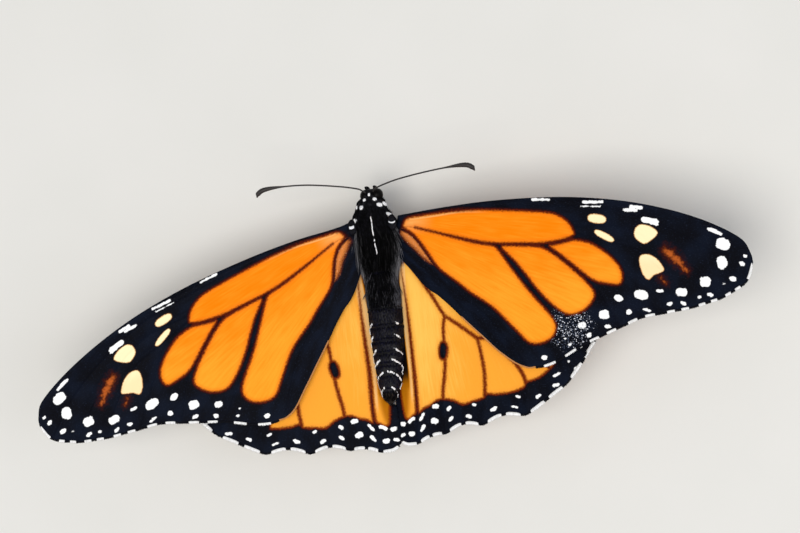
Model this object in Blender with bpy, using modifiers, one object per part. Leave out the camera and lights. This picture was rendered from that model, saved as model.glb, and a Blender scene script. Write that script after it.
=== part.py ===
"""A life-size monarch butterfly, wings spread, standing on its four walking legs.

Sizes below are millimetres, measured from the point midway between the forewing hinges:
+X is the butterfly's right, +Y is towards the head, +Z is up. The finished model is in metres,
with its origin at the middle of the floor under it.
"""

import math

import bmesh
import bpy
import numpy as np
from mathutils import Vector

MM = 0.001
HINGE_HEIGHT = 8.6            # forewing hinges above the floor
WING_THICKNESS = 0.5
BODY_GAP = 0.3                # wing roots stand off the body by this much
GUTTER_WIDTH = 2.5            # beside the body the wing folds down over this width
GUTTER_FADE = 6.0             # and the fold dies away over this length towards the rear
JOINT_GAP = 0.12              # between touching body pieces
SIDES = {"R": 1, "L": -1}
WING_GRID = (30, 8)           # steps from root to apex, and across the wing

# Body: half width, half height and centre height along the axis, as (y, half_width, half_height, centre_z).
THORAX = [(3.55, 2.3, 2.1, -0.75), (1.8, 3.0, 2.55, -0.95), (0.0, 3.35, 2.75, -1.1),
          (-2.6, 3.15, 2.65, -1.15), (-5.0, 2.5, 2.2, -1.05)]
ABDOMEN = [(-5.15, 2.15, 2.0, -0.9), (-8.0, 2.2, 2.1, -0.75), (-12.0, 2.3, 2.2, -0.6),
           (-16.0, 2.2, 2.1, -0.55), (-20.0, 1.85, 1.75, -0.6), (-23.6, 1.1, 1.05, -0.75)]
SPINE = [(6.5, -0.5), (0.0, -0.2), (-6.0, -0.3), (-12.0, -0.25), (-18.0, -0.55), (-23.6, -1.15)]  # (y, x)
BLUNTNESS = 3.6               # roundness of the body's ends: 2 is an ellipse, more is blunter
HEAD_CENTRE = (0.0, 4.8, -0.45)
HEAD_HALF = (1.4, 1.2, 1.35)
EYE_CENTRE = (1.15, 4.75, -0.4)
EYE_RADIUS = 0.93
EYE_SOCKET_GAP = 0.08
TEGULA_CENTRE = (3.2, 1.0, 1.1)
TEGULA_HALF = (0.75, 1.25, 0.4)

# Wing outlines in the wing's own plane: (outward, forward) from the hinge.
# "front" runs from the root along the leading edge to the apex, "back" from the root round the rear.
FOREWING = {
    "front": [(-1.0, 1.6), (5.8, 3.2), (13.0, 4.6), (22.0, 5.7), (30.0, 5.9), (37.0, 5.3),
              (43.0, 3.9), (47.5, 1.9), (49.7, -0.8)],
    "back": [(-1.0, -3.4), (4.5, -7.4), (10.0, -11.2), (16.0, -15.4), (19.3, -16.8), (22.6, -16.5),
             (28.5, -12.8), (35.5, -9.2), (41.5, -7.4), (46.0, -5.5), (48.9, -3.2), (49.7, -0.8)],
    "camber": 0.4,
    "gutter": 0.3,
}
HINDWING = {
    "front": [(-0.3, 1.0), (5.0, 2.3), (12.0, 2.0), (20.0, -0.6), (26.5, -5.0), (29.2, -10.0), (28.2, -13.6)],
    "back": [(-1.2, -1.5), (-1.2, -9.0), (-1.2, -17.0), (-1.2, -24.0), (0.4, -25.8), (5.5, -24.9),
             (11.0, -24.1), (17.2, -23.2), (21.5, -20.9), (25.0, -17.3), (28.2, -13.6)],
    "camber": 0.25,
    "gutter": 1.1,
}
# Hinge place, then how far each wing is swept back, raised and twisted, in degrees.
POSES = {
    "forewing_R": ((3.7, 0.0, 0.0), 11.5, 10.7, -3.1),
    "forewing_L": ((3.7, 0.0, 0.0), 23.7, 10.7, -3.1),
    "hindwing_R": ((2.15, -3.2, -1.0), 1.6, 9.3, -3.8),
    "hindwing_L": ((3.45, -3.8, -1.0), 4.3, 9.4, -3.3),
}
# Behind the abdomen the hindwings' inner edges close in: (y, distance from the middle, middle x).
WING_TAIL = [(-25.0, 0.8, -0.8), (-26.6, 0.35, -0.4)]

# Legs on the right side: joints along each leg, and the thickness at each.
LEGS = {
    "midleg": {"hip": (1.6, 0.1, -4.35), "knee": (5.4, 0.7, -2.9), "ankle": (8.4, 0.2, -7.1),
               "sole": (9.4, 0.0), "toe": (12.2, -0.6)},
    "hindleg": {"hip": (1.5, -2.5, -4.4), "knee": (4.5, -6.3, -3.3), "ankle": (6.0, -11.7, -7.1),
                "sole": (6.5, -12.9), "toe": (7.8, -17.0)},
}
HIP_RADIUS = 0.55
KNEE_RADIUS = 0.33
ANKLE_RADIUS = 0.28
FOOT_RADIUS = 0.27
FOOT_SINK = 0.09              # depth of foot cut away to make its flat sole
FORELEG = [(0.6, 0.6, -4.35), (0.7, 2.0, -4.1), (0.75, 3.2, -3.5), (0.65, 3.9, -2.8)]
FORELEG_RADII = (0.38, 0.34, 0.3, 0.27)

ANTENNA = {
    "R": [(0.45, 5.65, 0.9), (1.7, 6.0, 1.5), (4.5, 6.5, 2.2), (8.5, 6.9, 2.8), (12.2, 7.1, 3.2),
          (14.1, 7.05, 3.3), (14.9, 6.7, 3.25), (15.25, 6.15, 3.1)],
    "L": [(-1.05, 5.65, 0.9), (-1.75, 6.1, 1.3), (-4.2, 6.7, 2.1), (-8.3, 7.3, 2.9), (-11.9, 7.5, 3.5),
          (-13.9, 7.4, 3.8), (-14.8, 7.05, 3.8), (-15.2, 6.5, 3.65)],
}
ANTENNA_RADIUS = 0.25
CLUB_RADIUS = 0.42
PALP = [(0.42, 5.6, -1.75), (0.44, 6.1, -1.3), (0.42, 6.4, -0.7)]
PALP_RADII = (0.28, 0.34, 0.26)
COIL_CENTRE = (0.0, 5.2, -3.1)
COIL_RADII = (0.35, 0.95)
COIL_TURNS = 1.2
COIL_TUBE = 0.2
COIL_END = math.radians(100)  # where the roll meets the mouth, from straight ahead
COIL_POINTS = 26

COLOURS = {
    "black": ((0.012, 0.013, 0.02), 0.7),
    "eye": ((0.02, 0.014, 0.012), 0.25),
    "orange": ((0.85, 0.29, 0.02), 0.6),
    "pale_orange": ((0.9, 0.42, 0.06), 0.6),
    "leg": ((0.02, 0.018, 0.02), 0.55),
}


def clear_scene():
    for old in list(bpy.data.objects):
        bpy.data.objects.remove(old, do_unlink=True)


def collection(name):
    made = bpy.data.collections.new(name)
    bpy.context.scene.collection.children.link(made)
    return made


def material(name, look):
    colour, roughness = COLOURS[look]
    made = bpy.data.materials.new(name)
    made.use_nodes = True
    shader = made.node_tree.nodes["Principled BSDF"]
    shader.inputs["Base Color"].default_value = (*colour, 1.0)
    shader.inputs["Roughness"].default_value = roughness
    shader.inputs["Metallic"].default_value = 0.0
    return made


def add_object(name, data, look, parent, into):
    made = bpy.data.objects.new(name, data)
    into.objects.link(made)
    made.parent = parent
    data.materials.append(material(name + "_finish", look))
    return made


def mesh_object(name, bm, look, parent, into):
    """Makes an object of a bmesh built in millimetres."""
    bmesh.ops.scale(bm, vec=Vector((MM, MM, MM)), verts=bm.verts)
    bmesh.ops.recalc_face_normals(bm, faces=bm.faces)
    mesh = bpy.data.meshes.new(name)
    bm.to_mesh(mesh)
    bm.free()
    mesh.shade_smooth()
    return add_object(name, mesh, look, parent, into)


def smooth_path(points, count):
    """A Catmull-Rom curve through the points, as count+1 points evenly spaced along it."""
    p = np.array(points, float)
    p = np.vstack([2 * p[0] - p[1], p, 2 * p[-1] - p[-2]])
    t = np.linspace(0, 1, 24)[:, None]
    fine = [0.5 * (2 * p[i] + (p[i + 1] - p[i - 1]) * t
                   + (2 * p[i - 1] - 5 * p[i] + 4 * p[i + 1] - p[i + 2]) * t ** 2
                   + (3 * p[i] - p[i - 1] - 3 * p[i + 1] + p[i + 2]) * t ** 3)
            for i in range(1, len(p) - 2)]
    line = np.vstack(fine)
    length = np.r_[0, np.cumsum(np.linalg.norm(np.diff(line, axis=0), axis=1))]
    at = np.linspace(0, length[-1], count + 1)
    return np.column_stack([np.interp(at, length, line[:, k]) for k in range(line.shape[1])])


def along(table, y, column):
    """Smoothly reads one column of a (y, ...) table at y. The table runs from front to rear."""
    line = smooth_path(table, 80)[::-1]
    return np.interp(y, line[:, 0], line[:, column])


def spine_x(y):
    return along(SPINE, y, 1)


def on_body(points, side=1):
    """Points given from the body's midline on the right, moved to either side of the bent spine."""
    return [(side * x + float(spine_x(y)), y, z) for x, y, z in points]


def wing_limits():
    """Where the wings' inner edges may reach, as (y, distance from the middle, middle x) down the body."""
    body = THORAX[:-1] + ABDOMEN
    return [(row[0], row[1] + BODY_GAP, float(spine_x(row[0]))) for row in body] + WING_TAIL


def spindle(name, table, rings, around, look, parent, into):
    """A closed body along Y: a sphere whose rings are moved to the table's widths and heights."""
    bm = bmesh.new()
    bmesh.ops.create_uvsphere(bm, u_segments=around, v_segments=rings, radius=1.0)
    front, rear = table[0][0], table[-1][0]
    for v in bm.verts:
        x, z, pole = v.co
        y = (front + rear) / 2 + (front - rear) / 2 * pole
        spread = math.hypot(x, z) or 1.0
        round_end = max(0.0, 1 - abs(pole) ** BLUNTNESS) ** (1 / BLUNTNESS)
        wide, tall, height = (float(along(table, y, k)) for k in (1, 2, 3))
        v.co = (x / spread * wide * round_end + float(spine_x(y)), y, z / spread * tall * round_end + height)
    return mesh_object(name, bm, look, parent, into)


def ellipsoid(name, centre, half, around, rings, look, parent, into):
    bm = bmesh.new()
    bmesh.ops.create_uvsphere(bm, u_segments=around, v_segments=rings, radius=1.0)
    bmesh.ops.scale(bm, vec=Vector(half), verts=bm.verts)
    bmesh.ops.translate(bm, vec=Vector(centre), verts=bm.verts)
    return mesh_object(name, bm, look, parent, into)


def tube_curve(name, points, radii, resolution=2):
    """A curve object through points given in millimetres, thick as the radii say, with filled caps."""
    curve = bpy.data.curves.new(name, "CURVE")
    curve.dimensions = "3D"
    curve.bevel_depth = MM
    curve.bevel_resolution = resolution
    curve.use_fill_caps = True
    spline = curve.splines.new("POLY")
    spline.points.add(len(points) - 1)
    for point, place, radius in zip(spline.points, points, radii):
        point.co = (*(MM * value for value in place), 1.0)
        point.radius = radius
    return curve


def tube(name, points, radii, look, parent, into):
    return add_object(name, tube_curve(name, points, radii), look, parent, into)


def in_wing_plane(flat, sweep):
    """Turns (outward, forward) points about the hinge by the sweep."""
    out, ahead = flat[..., 0], flat[..., 1]
    return out * math.cos(sweep) + ahead * math.sin(sweep), -out * math.sin(sweep) + ahead * math.cos(sweep)


def wing_surface(shape, pose, side):
    """Grid of wing points, (steps+1, across+1, 3): straight chords from the front edge to the back edge."""
    steps, across = WING_GRID
    front = smooth_path(shape["front"], steps)[:, None, :]
    back = smooth_path(shape["back"], steps)[:, None, :]
    t = np.linspace(0, 1, across + 1)[None, :, None]
    flat = front * (1 - t) + back * t
    hinge, sweep, raised, twist = pose[0], *(math.radians(a) for a in pose[1:])
    a, b = in_wing_plane(flat, sweep)
    outward = np.linspace(0, 1, steps + 1)[:, None]
    lift = shape["camber"] * 4 * t[..., 0] * (1 - t[..., 0]) * (1 - outward)
    span_axis = np.array([side * math.cos(raised), 0, math.sin(raised)])
    up = np.array([-side * math.sin(raised), 0, math.cos(raised)])
    chord_axis = np.array([0, math.cos(twist), 0]) + up * math.sin(twist)
    root = np.array([side * hinge[0], hinge[1], hinge[2]])
    points = root + a[..., None] * span_axis + b[..., None] * chord_axis + lift[..., None] * up
    return beside_body(points, side, shape["gutter"])


def beside_body(points, side, gutter):
    """Keeps wing points off the body, and folds the wing down beside it."""
    x, y, z = points[..., 0], points[..., 1], points[..., 2]
    limits = wing_limits()
    middle = along(limits, y, 2)
    limit = along(limits, y, 1)
    reach = np.maximum(side * (x - middle), limit)
    near = np.clip(1 - (reach - limit) / GUTTER_WIDTH, 0, 1)
    fade = np.clip((y - WING_TAIL[-1][0]) / GUTTER_FADE, 0, 1)
    return np.stack([middle + side * reach, y, z - gutter * near ** 2 * fade], axis=-1)


def wing(name, shape, side, parent, into):
    """A cambered sheet between the two edges, given its thickness by Solidify."""
    points = wing_surface(shape, POSES[name], side)
    rows, columns = points.shape[:2]
    bm = bmesh.new()
    verts = [[bm.verts.new(p) for p in row] for row in points]
    for i in range(rows - 1):
        for j in range(columns - 1):
            bm.faces.new((verts[i][j], verts[i + 1][j], verts[i + 1][j + 1], verts[i][j + 1]))
    bmesh.ops.remove_doubles(bm, verts=bm.verts, dist=0.02)
    look = "orange" if name.startswith("fore") else "pale_orange"
    made = mesh_object(name, bm, look, parent, into)
    thick = made.modifiers.new("thickness", "SOLIDIFY")
    thick.thickness = WING_THICKNESS * MM
    thick.offset = 0.0
    return made


def foot(name, points, radii, parent, into):
    """A tube whose underside is cut flat at the floor."""
    guide = bpy.data.objects.new(name + "_guide", tube_curve(name, points, radii))
    into.objects.link(guide)
    graph = bpy.context.evaluated_depsgraph_get()
    mesh = bpy.data.meshes.new_from_object(guide.evaluated_get(graph))
    bm = bmesh.new()
    bm.from_mesh(mesh)
    bpy.data.objects.remove(guide, do_unlink=True)
    bpy.data.meshes.remove(mesh)
    bmesh.ops.scale(bm, vec=Vector((1 / MM, 1 / MM, 1 / MM)), verts=bm.verts)
    bmesh.ops.remove_doubles(bm, verts=bm.verts, dist=0.001)
    everything = bm.verts[:] + bm.edges[:] + bm.faces[:]
    floor = (0, 0, -HINGE_HEIGHT)
    bmesh.ops.bisect_plane(bm, geom=everything, plane_co=floor, plane_no=(0, 0, 1), clear_inner=True)
    bmesh.ops.holes_fill(bm, edges=[e for e in bm.edges if e.is_boundary])
    return mesh_object(name, bm, "leg", parent, into)


def stop_short(joint, towards, other, radius):
    """The point where a tube from the joint starts, so that it clears the other tube on the bend's inside."""
    here, there, across = Vector(joint), Vector(towards), Vector(other)
    bend = (there - here).angle(across - here)
    trim = radius / math.tan(bend / 2) + JOINT_GAP / 2
    return tuple(here + (there - here).normalized() * trim)


def leg(kind, side, suffix, parent, into):
    """Femur, tibia and foot of one walking leg."""
    plan = LEGS[kind]
    foot_height = FOOT_RADIUS - FOOT_SINK - HINGE_HEIGHT
    joints = [plan["hip"], plan["knee"], plan["ankle"], (*plan["sole"], foot_height), (*plan["toe"], foot_height)]
    hip, knee, ankle, sole, toe = on_body(joints, side)
    thigh = (hip, stop_short(knee, hip, ankle, KNEE_RADIUS))
    tube(f"{kind}_{suffix}_femur", thigh, (HIP_RADIUS, KNEE_RADIUS), "leg", parent, into)
    shin = (stop_short(knee, ankle, hip, KNEE_RADIUS), stop_short(ankle, knee, sole, ANKLE_RADIUS))
    tube(f"{kind}_{suffix}_tibia", shin, (KNEE_RADIUS, ANKLE_RADIUS), "leg", parent, into)
    start = stop_short(ankle, sole, knee, ANKLE_RADIUS)
    radii = (ANKLE_RADIUS, FOOT_RADIUS, FOOT_RADIUS)
    foot(f"{kind}_{suffix}_tarsus", [start, sole, toe], radii, parent, into)


def cut_sockets(head, parent, cutters):
    """Hollows in the head for the eyes."""
    radius = EYE_RADIUS + EYE_SOCKET_GAP
    for suffix, side in SIDES.items():
        centre = on_body([EYE_CENTRE], side)[0]
        socket = ellipsoid(f"socket_{suffix}", centre, (radius,) * 3, 16, 10, "eye", parent, cutters)
        socket.hide_render = True
        socket.display_type = "WIRE"
        cut = head.modifiers.new(f"socket_{suffix}", "BOOLEAN")
        cut.operation = "DIFFERENCE"
        cut.object = socket


def make_head(parent, into, cutters):
    head = ellipsoid("head", on_body([HEAD_CENTRE])[0], HEAD_HALF, 20, 12, "black", parent, into)
    cut_sockets(head, parent, cutters)
    for suffix, side in SIDES.items():
        centre = on_body([EYE_CENTRE], side)[0]
        ellipsoid(f"eye_{suffix}", centre, (EYE_RADIUS,) * 3, 16, 10, "eye", parent, into)
        tube(f"palp_{suffix}", on_body(PALP, side), PALP_RADII, "black", parent, into)


def make_proboscis(parent, into):
    """The tongue, rolled in a flat spiral under the head."""
    points = []
    for k in range(COIL_POINTS):
        share = k / (COIL_POINTS - 1)
        angle = COIL_END + 2 * math.pi * COIL_TURNS * (share - 1)
        radius = COIL_RADII[0] + (COIL_RADII[1] - COIL_RADII[0]) * share
        out, up = radius * math.cos(angle), radius * math.sin(angle)
        points.append((COIL_CENTRE[0], COIL_CENTRE[1] + out, COIL_CENTRE[2] + up))
    tube("proboscis", on_body(points), [COIL_TUBE] * COIL_POINTS, "leg", parent, into)


def make_antenna(suffix, parent, into):
    """A thin stalk, swelling to a club in its last quarter."""
    steps = 18
    points = smooth_path(ANTENNA[suffix], steps)
    share = np.linspace(0, 1, steps + 1)
    swell = np.clip((share - 0.72) / 0.2, 0, 1)
    radii = ANTENNA_RADIUS + (CLUB_RADIUS - ANTENNA_RADIUS) * swell ** 2 * (3 - 2 * swell)
    radii[-1] *= 0.6
    tube(f"antenna_{suffix}", points.tolist(), radii.tolist(), "leg", parent, into)


def make_body(parent, into):
    spindle("thorax", THORAX, 16, 20, "black", parent, into)
    spindle("abdomen", ABDOMEN, 20, 18, "black", parent, into)
    for suffix, side in SIDES.items():
        centre = on_body([TEGULA_CENTRE], side)[0]
        ellipsoid(f"tegula_{suffix}", centre, TEGULA_HALF, 12, 8, "black", parent, into)


def rest_on_floor(root, parts):
    """Moves everything so that the floor is at height 0 and the origin is below the middle."""
    bpy.context.view_layer.update()
    graph = bpy.context.evaluated_depsgraph_get()
    corners = []
    for part in parts:
        shown = part.evaluated_get(graph)
        mesh = shown.to_mesh()
        corners += [shown.matrix_world @ v.co for v in mesh.vertices]
        shown.to_mesh_clear()
    xs = [c.x for c in corners]
    ys = [c.y for c in corners]
    root.location = (-(min(xs) + max(xs)) / 2, -(min(ys) + max(ys)) / 2, HINGE_HEIGHT * MM)


def build():
    clear_scene()
    into = collection("monarch_butterfly")
    cutters = collection("cutters")
    root = bpy.data.objects.new("butterfly", None)
    into.objects.link(root)
    make_head(root, into, cutters)
    make_body(root, into)
    make_proboscis(root, into)
    for suffix, side in SIDES.items():
        make_antenna(suffix, root, into)
        wing(f"forewing_{suffix}", FOREWING, side, root, into)
        wing(f"hindwing_{suffix}", HINDWING, side, root, into)
        tube(f"foreleg_{suffix}", on_body(FORELEG, side), FORELEG_RADII, "leg", root, into)
        for kind in LEGS:
            leg(kind, side, suffix, root, into)
    rest_on_floor(root, [o for o in into.objects if o.type != "EMPTY"])


build()
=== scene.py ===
"""A life-size monarch butterfly: scaled wings, haired body, ringed feelers and spurred legs, on a pale floor.

Sizes below are millimetres, measured from the point midway between the forewing hinges: +X is the
butterfly's right, +Y is towards the head, +Z is up. They are moved into the frame's metres where a mesh
is made. Wing markings are given in each wing's own plane, as (outward, forward) from its hinge.
"""

import math

import bpy
import numpy as np
from mathutils import Matrix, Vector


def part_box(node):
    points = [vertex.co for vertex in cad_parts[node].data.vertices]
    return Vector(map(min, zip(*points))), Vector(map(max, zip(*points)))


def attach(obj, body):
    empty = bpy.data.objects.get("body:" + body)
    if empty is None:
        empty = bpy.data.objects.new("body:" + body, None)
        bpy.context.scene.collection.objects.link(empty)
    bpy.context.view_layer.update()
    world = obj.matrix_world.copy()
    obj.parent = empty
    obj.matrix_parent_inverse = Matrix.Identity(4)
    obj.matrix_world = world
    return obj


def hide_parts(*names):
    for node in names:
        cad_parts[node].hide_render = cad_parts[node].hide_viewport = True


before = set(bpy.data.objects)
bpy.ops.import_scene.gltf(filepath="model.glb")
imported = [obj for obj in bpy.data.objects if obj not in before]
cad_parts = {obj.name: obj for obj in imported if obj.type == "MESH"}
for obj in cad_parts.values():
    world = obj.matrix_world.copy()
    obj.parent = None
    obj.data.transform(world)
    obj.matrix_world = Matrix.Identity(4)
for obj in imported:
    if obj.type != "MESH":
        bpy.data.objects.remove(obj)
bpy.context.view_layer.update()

MM = 0.001
SIDES = {"R": 1, "L": -1}
UP, FORWARD = np.array([0.0, 0.0, 1.0]), np.array([0.0, 1.0, 0.0])
TEGULA_PLACE = (3.2, 1, 1.1)  # the tegula's middle, which ties these sizes to the frame
SOFT_SEED = 11  # one seed for every scattered hair

# ---------------- sizes of the body

SPINE = [(6.5, -0.5), (0, -0.2), (-6, -0.38), (-12, -0.43), (-18, -0.64), (-23.6, -1.15)]
# The skin under the hair, as (y, half width, half height, centre height): head, neck, thorax, waist, abdomen.
SKIN = [(5.85, 0.05, 0.05, -0.5), (5.72, 0.62, 0.6, -0.5), (5.25, 0.98, 1, -0.5), (4.85, 1.15, 1.1, -0.5),
        (4.6, 1.42, 1.15, -0.52), (4.3, 1.78, 1.3, -0.56), (3.95, 1.95, 1.5, -0.64), (3.55, 2.08, 1.72, -0.72),
        (3.15, 2.16, 1.9, -0.8), (2.5, 2.5, 2.15, -0.9), (1.4, 2.92, 2.4, -1), (-0.4, 3.12, 2.5, -1.1),
        (-2.6, 2.95, 2.4, -1.15), (-4.1, 2.5, 2.12, -1.1), (-5.05, 2, 1.85, -0.97), (-5.9, 2, 1.88, -0.9),
        (-8, 2.2, 1.98, -0.75), (-12, 2.35, 2.1, -0.6), (-16, 2.2, 2, -0.55), (-19.5, 1.84, 1.68, -0.6),
        (-22, 1.22, 1.15, -0.68), (-22.9, 0.66, 0.66, -0.72), (-23.45, 0.3, 0.3, -0.74),
        (-23.75, 0.04, 0.04, -0.75)]
COLLAR_SHIFT = (2.6, 1.8, -0.44)  # the collar leans to one side: y at its middle, spread, and how far in x
SEGMENT_GROOVE = (0.16, 0.07)  # half width, and depth as a share of the skin's size, of the grooves at these y
SEGMENT_EDGES = [-5.2, -7.6, -10.2, -12.7, -14.6, -16.3, -17.8, -19.2, -21.3, -23]
EYE_PLACE = (0.8, 4.95, -0.42)
HEAD_SHIFT = 0.12  # the head sits this far to the right of the spine
EYE_HALF = (0.86 * 0.92, 0.86, 0.86 * 1.05)
TEGULA_HALF = np.array([0.56, 1.0, 0.3])
# Hair on the skin: name, count, rear and front y, shortest and longest, width, thickness, how far it is raised,
# its darkest and lightest colour, power towards the dark one, how far it strays aside, and the tufts' form.
BODY_COATS = [
    ("thorax_hair", 15000, (-5.2, 3.5), (0.5, 0.8),
     0.07, 0.04, 0.3, ("#040405", "#1C1C24"), 6.0, 0.25, (0.5, 0.75, 0.25)),
    ("head_hair", 3600, (3.4, 5.75), (0.2, 0.4),
     0.055, 0.035, 0.35, ("#040405", "#1A1A22"), 6.0, 0.25, (0.5, 0.75, 0.25)),
    ("abdomen_scales", 16000, (-23.4, -5.2), (0.3, 0.44),
     0.12, 0.03, 0.12, ("#050509", "#15162A"), 3.0, 0.12, (0.7, 0.75, 0.12)),
    # The waist hair's lightest grey is a painted sheen, laid on its flanks in make_body_hair.
    ("waist_hair", 5200, (-10.5, -4.9), (0.8, 1.7),
     0.055, 0.035, 0.22, ("#050507", "#66666E"), None, 0.2, (0.5, 0.75, 0.1)),
    ("tail_hair", 1600, (-23.5, -21.6), (0.35, 0.8),
     0.05, 0.03, 0.3, ("#08070A", "#5C5048"), None, 0.3, (0.5, 0.75, 0.1)),
]

# ---------------- sizes of the wings

FOREWING = {
    "front": [(-1, 1.6), (5.8, 3.2), (13, 4.6), (22, 5.7), (30, 5.9), (37, 5.3), (43, 4.05), (47.7, 2.25),
              (49.3, 0.5), (49.8, -0.7)],
    "back": [(-1, -3.4), (1.5, -5.4), (3.4, -7.1), (4.7, -8), (6, -8.6), (8, -9.9), (10, -11.35), (13, -13.4),
             (16, -15.4), (19.3, -16.8), (22.6, -16.5), (28.5, -12.8), (35.5, -9.2), (41.5, -7.4), (46, -5.6),
             (49, -3.3), (49.8, -0.7)],
    "camber": 0.4,
    "gutter": 0.3,
    # Where veins meet the margin, and how deep the margin bites in before the next one.
    "vein_ends": [(21.2, -16.9, -0.15), (27.7, -13.3, -0.05), (32.8, -10.6, 0.15), (38, -8.3, 0.05),
                  (42.4, -7.1, 0.05), (45.9, -5.6, 0.05), (48.8, -3.5, 0), (49.8, -0.7, 0)],
    "ray_centre": (-6, 1.5),
    "dash": 0.115,  # half length of a white dash in the fringe, as a share of a cell
    "dash_depth": 0.35,  # how much thicker a dash is at its middle, as a share
    "long_dash": (6, 0.28, 1.02),  # a cell with one long dash, and where it starts and ends
    "hem": 13,  # length of the buff fringe on the inner margin
    "grid": (310, 126),
}
HINDWING = {
    "front": [(-0.3, 1), (5, 2.3), (12, 2), (20, -0.6), (26.5, -5), (29.2, -10), (28.2, -13.6)],
    "back": [(-1.2, -1.5), (-1.5, -9), (-1.8, -17), (-2, -22), (-1.85, -24.2), (-1.3, -25.55), (0.4, -26.15),
             (5.5, -24.9), (11, -24.1), (17.2, -23.2), (21.5, -20.9), (25.3, -17.6), (28.2, -13.6)],
    "camber": 0.25,
    "gutter": 0.9,
    "vein_ends": [(-1.3, -25.55, 0.05), (1.4, -26, 0.3), (5.4, -24.9, 0.65), (10.9, -24.1, 0.75),
                  (17.3, -23.2, 0.2), (23.5, -19.5, 0.15), (28.2, -13.6, 0)],
    "ray_centre": (2, 10),
    "dash": 0.16,
    "dash_depth": 1,
    "long_dash": (0, 0.04, 0.92),
    "hem": 0,
    "grid": (230, 150),
}
# The left hindwing's hem is stretched rearward, as (outward, half width of the stretch, length), and slides
# outward by the last number.
HEM_STRETCH = (11.5, 4.5, 0.3, 0.38)
# The left forewing is slimmer by these shares ahead of and behind its hinge line. Its base slides outward,
# and its tip outward and rearward, by these lengths.
SLIMMER = (0.065, 0.035)
BASE_SLIDE = 0.85
TIP_SLIDE = (0.35, 0.12)
# Hinge place, then how far each wing is swept back, raised and twisted, in degrees.
POSES = {
    "forewing_R": ((3.7, 0, 0), 11.5, 10.7, -3.1),
    "forewing_L": ((3.7, 0, 0), 23.7, 10.7, -3.1),
    "hindwing_R": ((2.15, -3.2, -1), 1.6, 9.3, -3.8),
    "hindwing_L": ((3.45, -3.8, -1), 4.3, 9.4, -3.3),
}
# How far from the body's middle the wings' inner edges stop, as (y, distance, middle x). They go into the
# thorax at its side, run under the abdomen's flank, and meet behind its tip.
WING_LIMITS = [(3.55, 1.7, -0.35), (1.8, 2.3, -0.25), (0, 2.6, -0.2), (-2.6, 2.5, -0.25), (-5.15, 1.75, -0.3),
               (-8, 1.7, -0.27), (-12, 1.75, -0.25), (-16, 1.65, -0.42), (-20, 1.3, -0.75), (-22.2, 0.8, -0.93),
               (-23, 0.42, -0.8), (-23.6, 0.12, -0.55), (-24.3, 0.05, -0.25), (-25.2, 0.05, -0.15),
               (-26.6, 0.05, -0.13)]
LEFT_DEEPER = 0.45  # the left hindwing's orange is deeper by this share of the way from light to deep,
LEFT_ORANGE_END = 15.9  # ends this far out,
LEFT_NO_SPOT = (21.9, -18.1)  # and it lacks the white spot here
GUTTER_WIDTH = 2.5  # the wing folds down this near the body's side,
GUTTER_FADE = 6.0  # and stops folding over this length before the rear
MEMBRANE = 0.14  # thickness of the membrane with its scales
FRINGE = 0.36  # length of the scales that fringe the outer margin
FRINGE_SPACING = 0.045
VEIN_RELIEF = 0.07  # veins stand out by this much, over this spread
VEIN_SPREAD = 0.17
PANE_SAG = 0.1  # how deep the panes between veins sink
POUCH_SWELL = 0.16  # how far the hindwing's scent pouch stands out
# What the scales' colours are worked out from. NOWHERE is the signed distance where a wing has no such mark.
MARKS = ("orange", "cream", "white", "rust", "fur", "worn", "apex", "tone", "base_glow", "fold")
NOWHERE = -9.0

# ---------------- markings of the forewing

FORE_PANES = {
    "discal": [(0.2, 0.6), (0.8, 1.3), (4, 2.05), (8, 2.9), (13, 3.25), (18, 3.45), (21.4, 3.45), (23.1, 2.95),
               (24.15, 2.2), (24.75, 1.4), (24.75, 0.95), (23.5, 0.4), (21, -0.25), (18, -0.55), (14, -0.85),
               (10, -0.78), (6.5, -0.33), (5, -0.15), (3, 0.08), (1.4, 0.15), (0.3, 0.15)],
    "outer": [(21.8, -0.7), (22.6, -0.4), (24, 0), (25.5, 0.2), (27.2, 0), (29.2, -0.85), (30.8, -1.9),
              (31.75, -2.9), (32.1, -3.9), (31.8, -4.8), (30, -4.85), (28.4, -4.6), (26.5, -3.55), (24.5, -2.3),
              (23, -1.4)],
    "middle": [(15, -1.4), (16.5, -1.2), (18.5, -1.08), (20.3, -1.08), (21.5, -1.45), (23.5, -2.5),
               (25.5, -3.75), (27.1, -4.95), (28.3, -6.15), (28.35, -7.1), (27.4, -8.4), (26.2, -9.1),
               (25.1, -9.3), (24, -8.95), (22.2, -7.8), (20.4, -6.3), (18.9, -4.8), (17.2, -3.2), (15.8, -2.1)],
    "long": [(0.4, 0.25), (1.4, 0.25), (3, 0.02), (5, -0.36), (8, -0.86), (11, -1.3), (13.3, -1.42),
             (14.3, -1.8), (15.3, -2.9), (16.3, -4), (17.3, -5), (18.8, -6.5), (20.6, -8.1), (22.3, -9.55),
             (23.3, -10.7), (23.4, -11.8), (22.7, -12.8), (21.3, -13.5), (19.8, -13.45), (18.2, -12.25),
             (15, -9.8), (13.4, -8.85), (11, -7.7), (9.4, -6.75), (7.4, -5.65), (6, -4.85), (5.2, -4),
             (4.1, -2.85), (2.9, -1.6), (1.9, -0.75), (1, -0.25)],
}
PANE_GROWTH = 0.17  # panes are drawn this much larger than their outlines
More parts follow.
